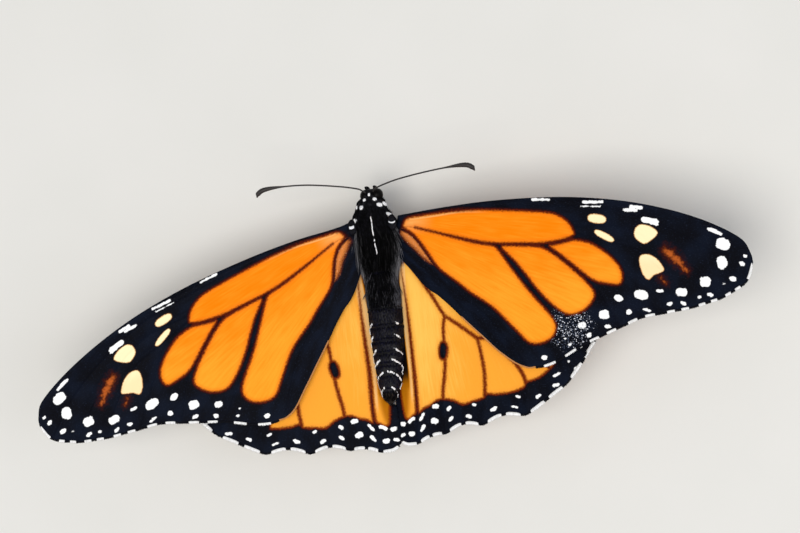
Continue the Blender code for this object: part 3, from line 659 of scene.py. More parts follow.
def wing_scales(name, deep, light, peach, rim, under_deep, under_apex, vein, vein_edge):
    """Wing scales: chitin plates a tenth of a millimetre long, laid like tiles, so the colour is matt
    with a soft edge to each marking and a fine grain along the veins."""
    made, tree = new_material(name)
    plane, rays = (node(tree, "Attribute", (), "Vector", attribute_name=key)
                   for key in ("wing_plane", "wing_rays"))
    marks = {key: node(tree, "Attribute", (), "Fac", attribute_name=key) for key in (*MARKS, "under_side")}
    orange, fold, under = (marks[key] for key in ("orange", "fold", "under_side"))
    # Real scales are 0.1 mm apart. They are drawn at 0.16 mm so that the grain shows.
    grain = blobs(tree, plane, 0.16, 3.0, (1.6, 0.8, 1.0))
    streak = blobs(tree, rays, 0.5, 3.0, (7.0, 0.5, 1.0))
    mottle = blobs(tree, rays, 2.4, 2.0, (1.8, 0.8, 1.0))
    teeth, blots, patchy = (blobs(tree, plane, size, 1.0) for size in (0.3, 0.7, 0.9))
    ragged = weighted(tree, -0.12, (grain, 0.24))
    tone = weighted(tree, marks["tone"], (streak, 0.9, 0.5), (mottle, 0.5, 0.5))
    edge = weighted(tree, orange, (ragged, 1.0), (streak, 0.14, 0.5), (teeth, 0.26, 0.5))
    rust = weighted(tree, -1.0, (marks["rust"], 1.0), (teeth, 0.9), (blots, 0.9))
    fur = weighted(tree, marks["fur"], (streak, 0.5, 0.5), (grain, 0.7, 0.5))
    cream = weighted(tree, marks["cream"], (ragged, 1.0))
    white = weighted(tree, marks["white"], (ragged, 1.1), (blots, 0.35, 0.5), (under, 0.12))

    # base_glow lays on peach as painted light: a glow near the wing base, and on the forewing a highlight along
    # the lit radius vein.
    pane = layered(tree, deep, (light, tone, 0.0, 1.0), (peach, marks["base_glow"]), (under_deep, under),
                   # fold paints shade: golden brown in the hindwing's fold, and near black for the body's
                   # painted shadow beside it.
                   (rim, orange, 0.85, 0.25, 0.5), ("#B26A06", fold, 0.0, 1.0), ("#160E08", fold, 1.0, 2.0))
    rusty = layered(tree, "#3A1009", ("#B85C24", rust, -0.05, 0.95))
    # The pale pink specks on the fur are painted highlights on its hairs.
    furry = layered(tree, "#5E2412", ("#D47E3C", fur, 0.05, 0.75), ("#DDA480", teeth, 0.64, 0.78))
    black = layered(tree, "#090A11", ("#0E1422", mottle, 0.35, 0.7), ("#232B3C", grain, 0.56, 0.8),
                    ("#220A0C", edge, -0.4, -0.12), (vein, edge, -0.2, -0.02),
                    (under_apex, marks["apex"], -0.3, 0.5, under), (rusty, rust, -0.7, 0.4),
                    (furry, fur, -0.1, 0.3))
    brown = layered(tree, vein_edge, (pane, edge, 0.0, 0.4))
    buff = layered(tree, "#FBF3C4", ("#FDE6B4", marks["tone"], 0.46, 0.56))
    pale = layered(tree, "#C98A50", (buff, cream, -0.02, 0.15))

    # Worn scales are a speckle of pale dots, denser where the wing is more worn.
    dots = node(tree, "TexVoronoi", {"Vector": plane, "Scale": 1 / 0.17}).node.outputs
    dice = node(tree, "SeparateColor", [dots["Color"]]).node.outputs
    dense = weighted(tree, 0.22, (marks["worn"], 0.16), (patchy, 0.5))
    worn = node(tree, "Math", (dice[0], dense), operation="LESS_THAN")
    for value, low, high in ((dots["Distance"], 0.5, 0.3), (marks["worn"], -0.9, 0.2), (orange, 0.0, -0.1)):
        worn = node(tree, "MapRange", (value, low, high, 0.0, worn), interpolation_type="SMOOTHSTEP")
    speckle = layered(tree, "#4A5468", ("#F0F4FF", dice[1], 0.3, 0.9))
    colour = layered(tree, black, (brown, edge, -0.1, 0.06), (pale, cream, -0.06, 0.04),
                     ("#FBFDFF", white, 0.0, 0.1), (speckle, worn))
    return finish(made, colour, weighted(tree, 0.46, (grain, 0.2)), 0.03, 0.5, 0.03,
                  weighted(tree, grain, (streak, 1.6)))


def coat(name, tip_sheen_gain):
    """Hair and long scales: chitin bristles, painted darker at the root and lighter towards the tip, as painted
    shade among the roots and a painted sheen on the tips.
    """
    made, tree = new_material(name)
    share = node(tree, "Attribute", (), "Fac", attribute_name="along")
    colour = node(tree, "Attribute", (), "Color", attribute_name="coat")
    # Painted sheen: the tip's colour is the root's times the gain.
    tip_sheen = node(tree, "VectorMath", {0: colour, "Scale": tip_sheen_gain}, operation="SCALE")
    return finish(made, layered(tree, colour, (tip_sheen, share, 0.1, 1.0)), 0.6, 0.06)


def body_cuticle():
    """Dark cuticle under the hair: black with a violet cast, pebbled by hair sockets, matt."""
    made, tree = new_material("hair_covered_cuticle")
    place = node(tree, "TexCoord", (), "Object")
    pits, blots, cloud = (blobs(tree, place, size * MM, detail)
                          for size, detail in ((0.12, 3.0), (0.3, 1.0), (1.2, 2.0)))
    white = node(tree, "Attribute", (), "Fac", attribute_name="white")
    colour = layered(tree, "#050507", ("#0F0E18", cloud, 0.3, 0.7),
                     ("#E9EDF4", weighted(tree, white, (pits, 0.16), (blots, 0.3)), 0.25, 0.33))
    return finish(made, colour, weighted(tree, 0.45, (pits, 0.3)), 0.25, 0.6, 0.05, pits)


def dark_chitin(name, low, high, roughness, size):
    """Bare or finely scaled chitin: near black, browner where it is thin, satin."""
    made, tree = new_material(name)
    place = node(tree, "TexCoord", (), "Object")
    grain = blobs(tree, place, size * MM, 3.0)
    colour = layered(tree, low, (high, grain, 0.3, 0.7))
    return finish(made, colour, weighted(tree, roughness, (grain, 0.2)), 0.5, 0.4, 0.03, grain)


def eye_lens():
    """Compound eye: thousands of smooth lenses over black pigment, so it is dark and glossy with a fine net."""
    made, tree = new_material("eye_lenses")
    place = node(tree, "TexCoord", (), "Object")
    # Real lenses are 0.025 mm across. They are drawn at 0.07 mm so that the net shows.
    cells = node(tree, "TexVoronoi", {"Vector": place, "Scale": 1 / (0.07 * MM)}, "Distance")
    return finish(made, layered(tree, "#030303", ("#0B0808", blobs(tree, place, 0.5 * MM))), 0.32, 0.07,
                  0.5, 0.02, cells, invert=True)


def painted_floor():
    """Matt painted board: near white, faintly clouded over two centimetres."""
    made, tree = new_material("painted_floor")
    place = node(tree, "TexCoord", (), "Object")
    return finish(made, layered(tree, "#DADBD8", ("#E1E1DF", blobs(tree, place, 0.02))), 0.9, 0.1)


# ---------------- wings

def in_wing_plane(flat, sweep):
    """Turns (outward, forward) points about the hinge by the sweep."""
    out, ahead = flat[..., 0], flat[..., 1]
    return out * math.cos(sweep) + ahead * math.sin(sweep), -out * math.sin(sweep) + ahead * math.cos(sweep)


def beside_body(points, side, gutter):
    """Keeps a wing's inner edge outside WING_LIMITS, and folds the wing down beside the body by
    gutter * near^2, where near is 1 at the edge and 0 a gutter's width away."""
    x, y, z = np.moveaxis(points, -1, 0)
    limit, middle = (along(WING_LIMITS, y, column) for column in (1, 2))
    reach = np.maximum(side * (x - middle), limit)
    near = np.clip(1 - (reach - limit) / GUTTER_WIDTH, 0, 1)
    fade = np.clip((y - WING_LIMITS[-1][0]) / GUTTER_FADE, 0, 1)
    return np.stack([middle + side * reach, y, z - gutter * near ** 2 * fade], axis=-1)


def margin_shape(shape, steps):
    """The rear edge with its bites between veins, drawn in by the fringe's length, and where each point is
    between two veins, counted from vein to vein. A bite is depth * sin(pi * share)^1.3, square to the edge."""
    edge = smooth_path(shape["back"], steps)
    length = arc_length(edge)
    ends = np.array(shape["vein_ends"])
    at = np.array([length[np.argmin(np.linalg.norm(edge - end[:2], axis=1))] for end in ends])
    cell = np.clip(np.searchsorted(at, length, side="right") - 1, 0, len(at) - 2)
    place = (length - at[cell]) / np.maximum(at[cell + 1] - at[cell], 1e-6)
    fringed = (length >= at[0]) & (place <= 1)
    depth = np.where(fringed, ends[cell, 2] * np.sin(np.pi * np.clip(place, 0, 1)) ** 1.3, 0)
    ahead = unit(np.gradient(edge, axis=0))
    inward = np.column_stack([-ahead[:, 1], ahead[:, 0]])
    drawn_in = FRINGE * ease(at[0] - 1.2, at[0], length) * 0.62
    return edge + inward * (depth + drawn_in)[:, None], np.where(fringed, cell + place, -1.0), -inward


def flat_wing(shape):
    """Grid of (outward, forward) points: straight chords from the front edge to the rear edge."""
    steps, across = shape["grid"]
    front = smooth_path(shape["front"], steps)
    back, place, outward = margin_shape(shape, steps)
    # The front edge gives way near the tip, so that the tip stays round inside its fringe.
    left = np.linalg.norm(front - front[-1], axis=1)
    front += (back[-1] - front[-1]) * ease(6, 0, left)[:, None]
    t = np.linspace(0, 1, across + 1)
    return front[:, None] * (1 - t)[:, None] + back[:, None] * t[:, None], t, place, outward


def wing_frame(name):
    """The wing's side, its sweep, its hinge, and its plane's span, chord and up directions."""
    side, hinge = SIDES[name[-1]], POSES[name][0]
    sweep, raised, twist = (math.radians(angle) for angle in POSES[name][1:])
    up = np.array([-side * math.sin(raised), 0, math.cos(raised)])
    span = np.array([side * math.cos(raised), 0, math.sin(raised)])
    chord = np.array([0, math.cos(twist), 0]) + up * math.sin(twist)
    return side, sweep, np.array([side * hinge[0], *hinge[1:]]), span, chord, up


def in_space(name, shape, flat, t, outward):
    """Wing points in space: the flat point turned by the sweep, with camber 4t(1-t) that dies away outward."""
    side, sweep, hinge, span, chord, up = wing_frame(name)
    a, b = in_wing_plane(flat, sweep)
    lift = shape["camber"] * 4 * t * (1 - t) * (1 - outward)
    points = hinge + a[..., None] * span + b[..., None] * chord + lift[..., None] * up
    return beside_body(points, side, shape["gutter"])


def stretched(name, flat):
    """The wing's flat points. One hindwing is stretched by length * exp(-((u - at) / width)^2) towards its hem
    and slides outward there, and one forewing has the slimmer wing's shares and slides."""
    u, w = flat[..., 0], flat[..., 1]
    aside, pull = np.zeros_like(u), np.zeros_like(u)
    if name == "hindwing_L":
        at, width, length, slide = HEM_STRETCH
        pull = length * np.exp(-((u - at) / width) ** 2) * ease(-17.5, -22.5, w)
        aside = slide * ease(-14, -22, w) * ease(-2, -0.8, u) * (1 - 0.6 * ease(8, 16, u))
    if name == "forewing_L":
        ahead, behind = SLIMMER
        aside = BASE_SLIDE * ease(-1, 0, u) * ease(7.5, 1, u) * ease(-6, -2, w) + TIP_SLIDE[0] * ease(34, 49, u)
        pull = ahead * np.maximum(w, 0) - behind * np.maximum(-w, 0) * ease(19.5, 15, u)
        pull += TIP_SLIDE[1] * ease(30, 46, u) * ease(-5, -1, w)
    return np.stack([u + aside, w - pull], axis=-1)


def fore_marks(flat):
    """Distance to the nearest vein, depth in the scent pouch, and the signed distances and tones that the
    forewing's scales are coloured by, for each point."""
    u, w = flat.T
    nearest, vein = vein_field(flat, FORE_VEINS)
    from_lit, _ = vein_field(flat, [(FORE_LIT_VEIN, 0.0, 0.0)])
    # base_glow is painted light: a peach glow near the hinge, and a painted highlight along the lit radius
    # vein.
    glow = 0.45 * ease(5, 0.8, u) * ease(-0.9, 0.5, w)
    return nearest, np.full(len(flat), NOWHERE), {
        "orange": np.minimum(inside_outlines(flat, FORE_PANES) + PANE_GROWTH, -vein),
        "cream": np.maximum(inside_spots(flat, FORE_CREAM), inside_outlines(flat, FORE_CREAM_DROPS)),
        "white": np.maximum(inside_spots(flat, FORE_WHITE), inside_spots(flat, FORE_BARS, BAR_SQUARENESS)),
        "rust": inside_spots(flat, FORE_RUST), "worn": inside_spots(flat, FORE_WORN),
        "fur": np.minimum(inside_outlines(flat, FORE_FUR), 2 * nearest - 0.2),
        "apex": np.minimum(inside_spots(flat, FORE_APEX), nearest - 0.35),
        "tone": 0.25 + 0.5 * ease(1, -10, w) + 0.2 * ease(20, 30, u),
        "base_glow": np.maximum(glow, ease(0.2, 0.05, from_lit) * ease(13, 7, u)),
    }


def hind_marks(flat):
    """The same for the hindwing. Its scent pouch is black like the veins, and its fold mark is painted shade.
    """
    u, w = flat.T
    nearest, vein = vein_field(flat, HIND_VEINS)
    scent = inside_spots(flat, HIND_SCENT)
    from_edge = u - 0.6 * ease(-8, -18, w)
    # shade is a painted shadow of the body on the wing's inner edge, fading out towards the tail.
    shade = ease(0.12, -0.2, from_edge) * ease(-20.5, -15.5, w)
    return nearest, scent, {
        "orange": np.minimum(inside_outlines(flat, HIND_PANES) + PANE_GROWTH, -np.maximum(vein, scent)),
        "white": inside_spots(flat, HIND_WHITE),
        "tone": ease(12, 2, u) * (0.5 + 0.4 * ease(-22, -8, w)) * ease(-0.2, 1.4, u),
        # base_glow here is the pale strip beside the body: partly the wing's own pale colour, partly a painted
        # glow.
        "base_glow": 0.9 * (ease(1.15, 0.95, u) * ease(0, 0.2, from_edge) * ease(-21, -18.5, w)),
        # fold is painted shade: golden brown in the fold, and up to 2 the near black painted shadow of the
        # body.
        "fold": np.maximum(0.9 * ease(-0.9, 0.4, inside_spots(flat, HIND_FOLD_SHADE)), 2 * shade),
    }


def rays_from(centre, plane):
    """Distance from the point that the veins fan out of, and the way round it, in mm at 25 mm out."""
    away = plane[:, :2] - np.array(centre)
    turned = np.arctan2(away[:, 1], away[:, 0] + 1e-9)
    turned = np.where(turned > math.pi / 2, turned - 2 * math.pi, turned)
    return np.column_stack([np.linalg.norm(away, axis=1), 25 * turned, np.zeros(len(away))])


def make_wing(name):
    """A membrane between two surfaces, closed round its rim. Veins are ridges exp(-(d / spread)^2) on it, panes
    sink a little between them, and a scent pouch swells."""
    kind, side = name[:-2], SIDES[name[-1]]
    shape, marks_of = {"forewing": (FOREWING, fore_marks), "hindwing": (HINDWING, hind_marks)}[kind]
    flat, t, place, outward_edge = flat_wing(shape)
    rows, columns = flat.shape[:2]
    count = rows * columns
    outward = np.linspace(0, 1, rows)[:, None]
    middle = in_space(name, shape, stretched(name, flat), t, outward)
    normal = unit(np.cross(np.gradient(middle, axis=0), np.gradient(middle, axis=1) + 1e-9))
    normal *= np.sign(normal[..., 2:3])
    normal[-1] = normal[-2]
    listed = flat.reshape(-1, 2)
    nearest, scent, marks = marks_of(listed)
    if side < 0:
        marks.pop("worn", None)
    if name == "hindwing_L":
        u, w = listed.T
        marks["tone"] = marks["tone"] - LEFT_DEEPER
        marks["orange"] = np.minimum(marks["orange"], LEFT_ORANGE_END - u + 20 * ease(-17, -13, w))
        missing = np.hypot(u - LEFT_NO_SPOT[0], w - LEFT_NO_SPOT[1]) < 0.9
        marks["white"] = np.where(missing, NOWHERE, marks["white"])
    height = VEIN_RELIEF * np.exp(-(nearest / VEIN_SPREAD) ** 2) - PANE_SAG * ease(0, 2.2, nearest)
    height = (height + POUCH_SWELL * ease(-0.1, 0.45, scent)).reshape(rows, columns)
    rim = np.minimum(ease(0, 0.03, t), ease(1, 0.97, t)) * ease(1, 0.98, outward)
    half = MEMBRANE / 2 * (0.35 + 0.65 * rim)
    top = middle + normal * (half + height * rim)[..., None]
    bottom = middle - normal * (half - 0.6 * height * rim)[..., None]
    top[-1], bottom[-1] = top[-1, 0], bottom[-1, 0]

    above = np.arange(count).reshape(rows, columns)
    above[-1] = above[-1, 0]
    below = above + count
    triangles = np.vstack([grid_triangles(np.column_stack([above, below[:, ::-1], above[:, :1]])),
                           grid_triangles(np.stack([below[0], above[0]]))])
    plane = np.tile(np.column_stack([listed, np.zeros(count)]), (2, 1))
    values = {key: np.tile(marks.get(key, np.full(count, NOWHERE)), 2) for key in MARKS}
    values |= {"under_side": np.repeat([0.0, 1.0], count), "wing_plane": plane,
               "wing_rays": rays_from(shape["ray_centre"], plane)}
    points, triangles, kept = without_loose(np.vstack([top.reshape(-1, 3), bottom.reshape(-1, 3)]),
                                            triangles[:, ::-side])
    add_piece(f"{name}_scales", points, triangles, kind, f"{kind}_scales", [name],
              {key: value[kept] for key, value in values.items()})
    make_fringe(name, shape, middle[:, -1], normal[:, -1], place, outward_edge, flat[:, -1])


def make_fringe(name, shape, edge, normal, place, outward, flat_edge):
    """Long scales along the outer margin in two ranks: white in two dashes between veins, black elsewhere.
    The forewing's inner margin has short buff ones."""
    rng = np.random.default_rng(SOFT_SEED + len(name))
    _, sweep, _, span, chord, _ = wing_frame(name)
    away = np.column_stack(in_wing_plane(outward, sweep))
    length = arc_length(edge)
    start = length[np.argmax(place >= 0)]
    at = np.arange(start - shape["hem"], length[-1] - 0.15, FRINGE_SPACING)
    at = np.repeat(at, 2) + rng.uniform(-0.02, 0.02, 2 * len(at))
    rank = np.tile([0, 1], len(at) // 2)
    roots, ahead, face, flat_roots = (read_at(at, length, table) for table in (
        edge, away[:, :1] * span + away[:, 1:] * chord, normal, flat_edge))
    ahead, face = unit(ahead), unit(face)
    where, hem = np.interp(at, length, place), at < start
    cell, first, last = shape["long_dash"]
    single = (where >= cell) & (where <= cell + 1)
    off = np.where(single, np.abs(where - cell - (first + last) / 2) / ((last - first) / 2),
                   np.abs(np.abs(where % 1 - 0.5) - 0.22) / shape["dash"])
    dash = (off < 1) & ~hem
    # A dash is a lens: its scales are rooted further in and reach further at its middle.
    fullness = np.where(dash, np.sqrt(np.maximum(1 - off ** 4, 0)), 0) * shape["dash_depth"]
    roots = (roots - ahead * (0.12 + 0.14 * fullness)[:, None]
             + face * ((rank - 0.5) * 0.07 + 0.02 * dash)[:, None])
    ahead = unit(ahead + np.cross(face, ahead) * rng.uniform(-0.12, 0.12, len(at))[:, None])
    reach = (FRINGE * rng.uniform(0.7, 1.05, len(at)) + 0.1) * np.where(rank == 1, 1.0, 0.8)
    reach *= np.where(hem, 0.55, 0.8 + 0.4 * fullness) * (0.25 + 0.75 * ease(0, 0.9, length[-1] - at))
    white, buff, black = (np.array(linear(colour)[:3]) for colour in ("#FDFEFF", "#C98E58", "#101118"))
    colour = np.where(dash[:, None], white, np.where(hem[:, None], buff, black))
    colour *= rng.uniform(0.9, 1.0, len(at))[:, None]
    # The wing lies inside the unwrap once its plane is moved by 3 and 28 mm, and is a share of 56 by 36 mm.
    add_tufts(f"{name}_fringe", roots, ahead, face, reach, 0.1, 0.03, (0.62, 0.85, 0.0), colour,
              (flat_roots + np.array([3.0, 28.0])) / np.array([56.0, 36.0]), f"{name[:-2]}_scales", "fringe")


# ---------------- body skin and hair

def skin_point(y, angle):
    """The skin's point at y, at an angle from the right side over the top: middle + (half width cos, half
    height sin), drawn in by exp(-(d / width)^2) at each segment's edge."""
    wide, tall, high = (along(SKIN, y, column) for column in (1, 2, 3))
    middle, spread, aside = COLLAR_SHIFT
    width, depth = SEGMENT_GROOVE
    lean = aside * np.exp(-((y - middle) / spread) ** 2)
    step = 1 - np.exp(-((y[..., None] - np.array(SEGMENT_EDGES)) / width) ** 2).sum(-1) * depth
    x, z = spine_x(y) + lean + wide * step * np.cos(angle), high + tall * step * np.sin(angle)
    return np.stack([x, y, z], axis=-1)


def skin_white(points):
    """How deep inside a white marking a point of the skin is, in mm. The sides are read in (y, z), the top in
    (x, y). Arcs run rearward by slope * (angle / 60)^1.6 from the top, and end in a streak down the side."""
    x, y, z = points.T
    wide, tall, high = (along(SKIN, y, column) for column in (1, 2, 3))
    white = np.where(z > high + 0.1 * tall, inside_spots(points[:, :2], HEAD_WHITE + THORAX_WHITE),
                     inside_spots(points[:, 1:], SIDE_WHITE))
    white = np.maximum(white, NOWHERE)
    from_top = np.degrees(np.arctan2(np.abs(x - spine_x(y)) / wide, (z - high) / tall))
    for middle, first, last, slope in ABDOMEN_ARCS:
        line, foot = (middle - slope * (angle / 60) ** 1.6 for angle in (from_top, last))
        arc = np.minimum(ARC_HALF_WIDTH - np.abs(y - line), np.minimum(from_top - first, last - from_top) / 60)
        streak = ARC_HALF_WIDTH - np.abs(np.radians(from_top - last)) * wide
        streak = np.where((x < spine_x(y)) | (y < -18.5), streak, NOWHERE)
        streak = np.minimum(streak, SIDE_STREAK / 2 - np.abs(y - foot + SIDE_STREAK / 2))
        white = np.maximum(white, np.maximum(arc, streak))
    return white


def make_skin():
    """One skin for head, thorax and abdomen: rings of skin_point, closed at both ends."""
    rows, around = 330, 132
    y = SKIN[0][0] + (SKIN[-1][0] - SKIN[0][0]) * np.linspace(0, 1, rows)
    angle = round_angles(around)
    grid = skin_point(np.repeat(y[:, None], around, 1), np.repeat(angle[None], rows, 0))
    points, triangles = closed_rings(grid)
    add_piece("body_skin", points, triangles, "cuticle", "body_hair", ["head", "thorax", "abdomen"],
              {"white": skin_white(points)})


def surface_frame(y, angle):
    """Point, outward, backward and round-the-body direction of the skin at each place, and its place in the
    skin's unwrap: share round the body, share along it."""
    here = skin_point(y, angle)
    back = unit(skin_point(y - 0.15, angle) - skin_point(y + 0.15, angle))
    round_body = unit(skin_point(y, angle + 0.02) - skin_point(y, angle - 0.02))
    out = unit(np.cross(round_body, back))
    middle = np.column_stack([spine_x(y), y, along(SKIN, y, 3)])
    out *= np.sign((out * (here - middle)).sum(-1))[:, None]
    return here, out, back, round_body, np.column_stack([
        (angle % (2 * math.pi)) / (2 * math.pi), (SKIN[0][0] - y) / (SKIN[0][0] - SKIN[-1][0])])


def grey(rng, count, dark, light, power):
    """Greys between two colours, nearer the dark one the higher the power: share^power of the way."""
    share = rng.uniform(0, 1, count)[:, None] ** power
    low, high = (np.array(linear(c)[:3]) for c in (dark, light))
    return low + (high - low) * share


def make_body_hair():
    """Hair combed backwards on the skin, evenly by area, but not on its white markings. The waist's grows
    longer forwards and is darker on top, with a painted grey sheen on its flanks, and the tail's is darker at
    its ends."""
    rng = np.random.default_rng(SOFT_SEED)
    for name, count, (rear, front), (shortest, longest), *nap in BODY_COATS:
        width, thick, raised, colours, power, spread, form = nap
        y = rng.uniform(rear, front, 6 * count)
        y = y[rng.uniform(0, 1, len(y)) < along(SKIN, y, 1) / 3.1][:count]
        angle = rng.uniform(0, 2 * math.pi, len(y))
        length = rng.uniform(shortest, longest, len(y))
        if name == "thorax_hair":
            length += 0.5 * rng.uniform(0, 1, len(y)) ** 4
        # The waist hair is painted grey on its flanks as a sheen, and darker on top.
        if name == "waist_hair":
            length = length * ease(-11.5, -7, y) + 0.2
            power = 1.5 + 25.0 * ease(0.5, 0.97, np.sin(angle))[:, None]
        if name == "tail_hair":
            power = 1.2 + 8.0 * (ease(-22.8, -22.2, y) + ease(-22.9, -23.3, y))[:, None]
        greys = grey(rng, len(y), *colours, power)
        here, out, back, round_body, places = surface_frame(y, angle)
        marked = [skin_white(here + back * ahead) > depth
                  for ahead, depth in ((0.25, -0.12), (0.6, -0.05), (0.0, -0.1))]
        here, out, back, round_body, places, length, greys = (
            v[~np.any(marked, axis=0)] for v in (here, out, back, round_body, places, length, greys))
        ahead = unit(back + out * raised + round_body * rng.normal(0, spread, len(here))[:, None])
        add_tufts(name, here - out * 0.02, ahead, out, length, width, thick, form, greys, places)


def make_white_scales():
    """Dense white scales standing on the white markings."""
    rng = np.random.default_rng(SOFT_SEED + 1)
    y = rng.uniform(-22.5, 5.4, 160000)
    angle = rng.uniform(-0.7, math.pi + 0.7, len(y))
    here, out, back, _, places = surface_frame(y, angle)
    # On the abdomen the white lines are broken: whole little squares of scales are missing.
    squares = rng.uniform(0, 1, (128, 64))
    missing = squares[(y * -4.5).astype(int) % 128, (angle * 9 + 20).astype(int) % 64] > 0.55
    keep = (skin_white(here + back * 0.08) > 0.015) & ~(missing & (y < -5))
    y, here, out, back, places = (v[keep] for v in (y, here, out, back, places))
    tall = np.where(y > 3.4, 0.18, np.where(y > -5, 0.24, 0.06))
    ahead = unit(back + out * 0.25 + np.cross(out, back) * rng.normal(0, 0.2, (len(y), 1)))
    length = rng.uniform(0.2, 0.3, len(y))
    white = grey(rng, len(y), "#FFFFFF", "#DDE1EA", 2.0)
    add_tufts("white_body_scales", here + out * tall[:, None], ahead, out, length, 0.11, 0.03, (0.7, 0.9, 0.3),
              white, places, material="white_scales")


def make_long_hair():
    """Long hair streaming back from the thorax's flanks over the wing roots and the waist, black on top and
    painted grey on the flanks as a sheen.
    """
    rng = np.random.default_rng(SOFT_SEED + 2)
    count = 6500
    y = -5.2 + 6.0 * rng.uniform(0, 1, count) ** 1.5
    on_right = rng.uniform(0, 1, count) < 0.5
    from_side = -0.2 + 1.7 * rng.uniform(0, 1, count) ** 1.6
    here, out, back, round_body, places = surface_frame(y, np.where(on_right, from_side, math.pi - from_side))
    splay = rng.uniform(0.02, 0.4, (count, 1)) * ease(1.2, 0.2, from_side)[:, None] + 0.05
    ahead = unit(back + out * splay + round_body * rng.normal(0, 0.1, (count, 1)))
    length = rng.uniform(1.3, 3.4, count)
    # Painted sheen: grey on the flanks, near black towards the top.
    greys = grey(rng, count, "#060608", "#94949A", 1.2 + 30.0 * ease(0.4, 1.1, from_side)[:, None])
    add_tufts("long_thorax_hair", here, ahead, out, length, 0.055, 0.04, (0.5, 0.7, 0.03),
              greys * (1 - 0.8 * ease(0.5, 1, from_side))[:, None], places)


# ---------------- head and limbs

def make_eyes():
    """Oval eyes, set to the head's own middle."""
    for suffix, side in SIDES.items():
        centre = on_body([EYE_PLACE], side)[0] + np.array([HEAD_SHIFT, 0, 0])
        add_piece(f"eye_{suffix}_lenses", *ball(centre, EYE_HALF, 48, 72), "eye", "eye", [f"eye_{suffix}"])


def tuft_cover(rng, name, slot, path, radii, count, length, width, raised, colours):
    """Hair all over a tube, pointing along it. The unwrap is share round it and share along it."""
    greys = grey(rng, count, *colours)
    steps = 60
    line = smooth_path(path, steps)
    at, angle = rng.uniform(0, steps, count), rng.uniform(0, 2 * math.pi, count)
    ahead = unit(np.gradient(line, axis=0))
    here, forward = (read_at(at, np.arange(steps + 1), table) for table in (line, ahead))
    forward = unit(forward)
    radius = np.interp(at / steps, np.linspace(0, 1, len(radii)), radii)
    side = unit(np.cross(forward, np.where(np.abs(forward[:, 2:]) < 0.9, UP, FORWARD)))
    out = side * np.cos(angle)[:, None] + np.cross(side, forward) * np.sin(angle)[:, None]
    add_tufts(name, here + out * radius[:, None] * 0.95, unit(forward + out * raised), out,
              length * rng.uniform(0.7, 1.2, count), width, width * 0.5, (0.5, 0.7, 0.1), greys,
              np.column_stack([angle / (2 * math.pi), at / steps]), slot)


def make_small_limbs(kind):
    """A pair of small furry limbs: tubes along a path, whose radii are read from a profile."""
    seed, core, material, slot, path, profile, steps, around, hair = SMALL_LIMBS[kind]
    rng = np.random.default_rng(SOFT_SEED + seed)
    for suffix, side in SIDES.items():
        route, node_name = on_body(path, side), f"{kind}_{suffix}"
        radii = np.interp(np.linspace(0, 1, steps + 1), *profile)
        flesh = tube(smooth_path(route, steps), radii, around)
        add_piece(f"{node_name}_{core}", *flesh, material, slot, [node_name])
        tuft_cover(rng, f"{node_name}_hair", slot, route, *hair)


def make_proboscis():
    """The rolled tongue: two ringed tubes side by side along one spiral."""
    share = np.linspace(0, 1, 90)
    angle = COIL_END + 2 * math.pi * COIL_TURNS * (share - 1)
    radius = COIL_RADII[0] + (COIL_RADII[1] - COIL_RADII[0]) * share
    middle = np.column_stack([np.zeros(90), COIL_CENTRE[1] + radius * np.cos(angle),
                              COIL_CENTRE[2] + radius * np.sin(angle)])
    middle[:, 0] = spine_x(middle[:, 1])
    radii = np.interp(share, [0, 1], [0.09, 0.15]) * (1 + 0.06 * np.sin(share * 2 * math.pi * 60))
    halves = [tube(middle + np.array([offset, 0, 0]), radii, 14) for offset in (-0.08, 0.08)]
    add_piece("proboscis_tubes", *join(halves), "chitin", "horn", ["proboscis"])


def make_antennae():
    """Feelers of forty-odd short rings: radius * (1 + a small swelling in each ring), ending in a club."""
    steps = ANTENNA_RINGS * 8
    share = np.linspace(0, 1, steps + 1)
    radii = ANTENNA_RADIUS + (CLUB_RADIUS - ANTENNA_RADIUS) * ease(0.7, 0.93, share)
    radii *= 1 - ease(0.965, 1, share) * 0.75
    radii *= 1 + 0.09 * np.abs(np.sin(share * math.pi * ANTENNA_RINGS)) - 0.05
    for suffix in SIDES:
        rings = tube(smooth_path(ANTENNA[suffix], steps), radii, 18)
        add_piece(f"antenna_{suffix}_rings", *rings, "feeler", "horn", [f"antenna_{suffix}"])


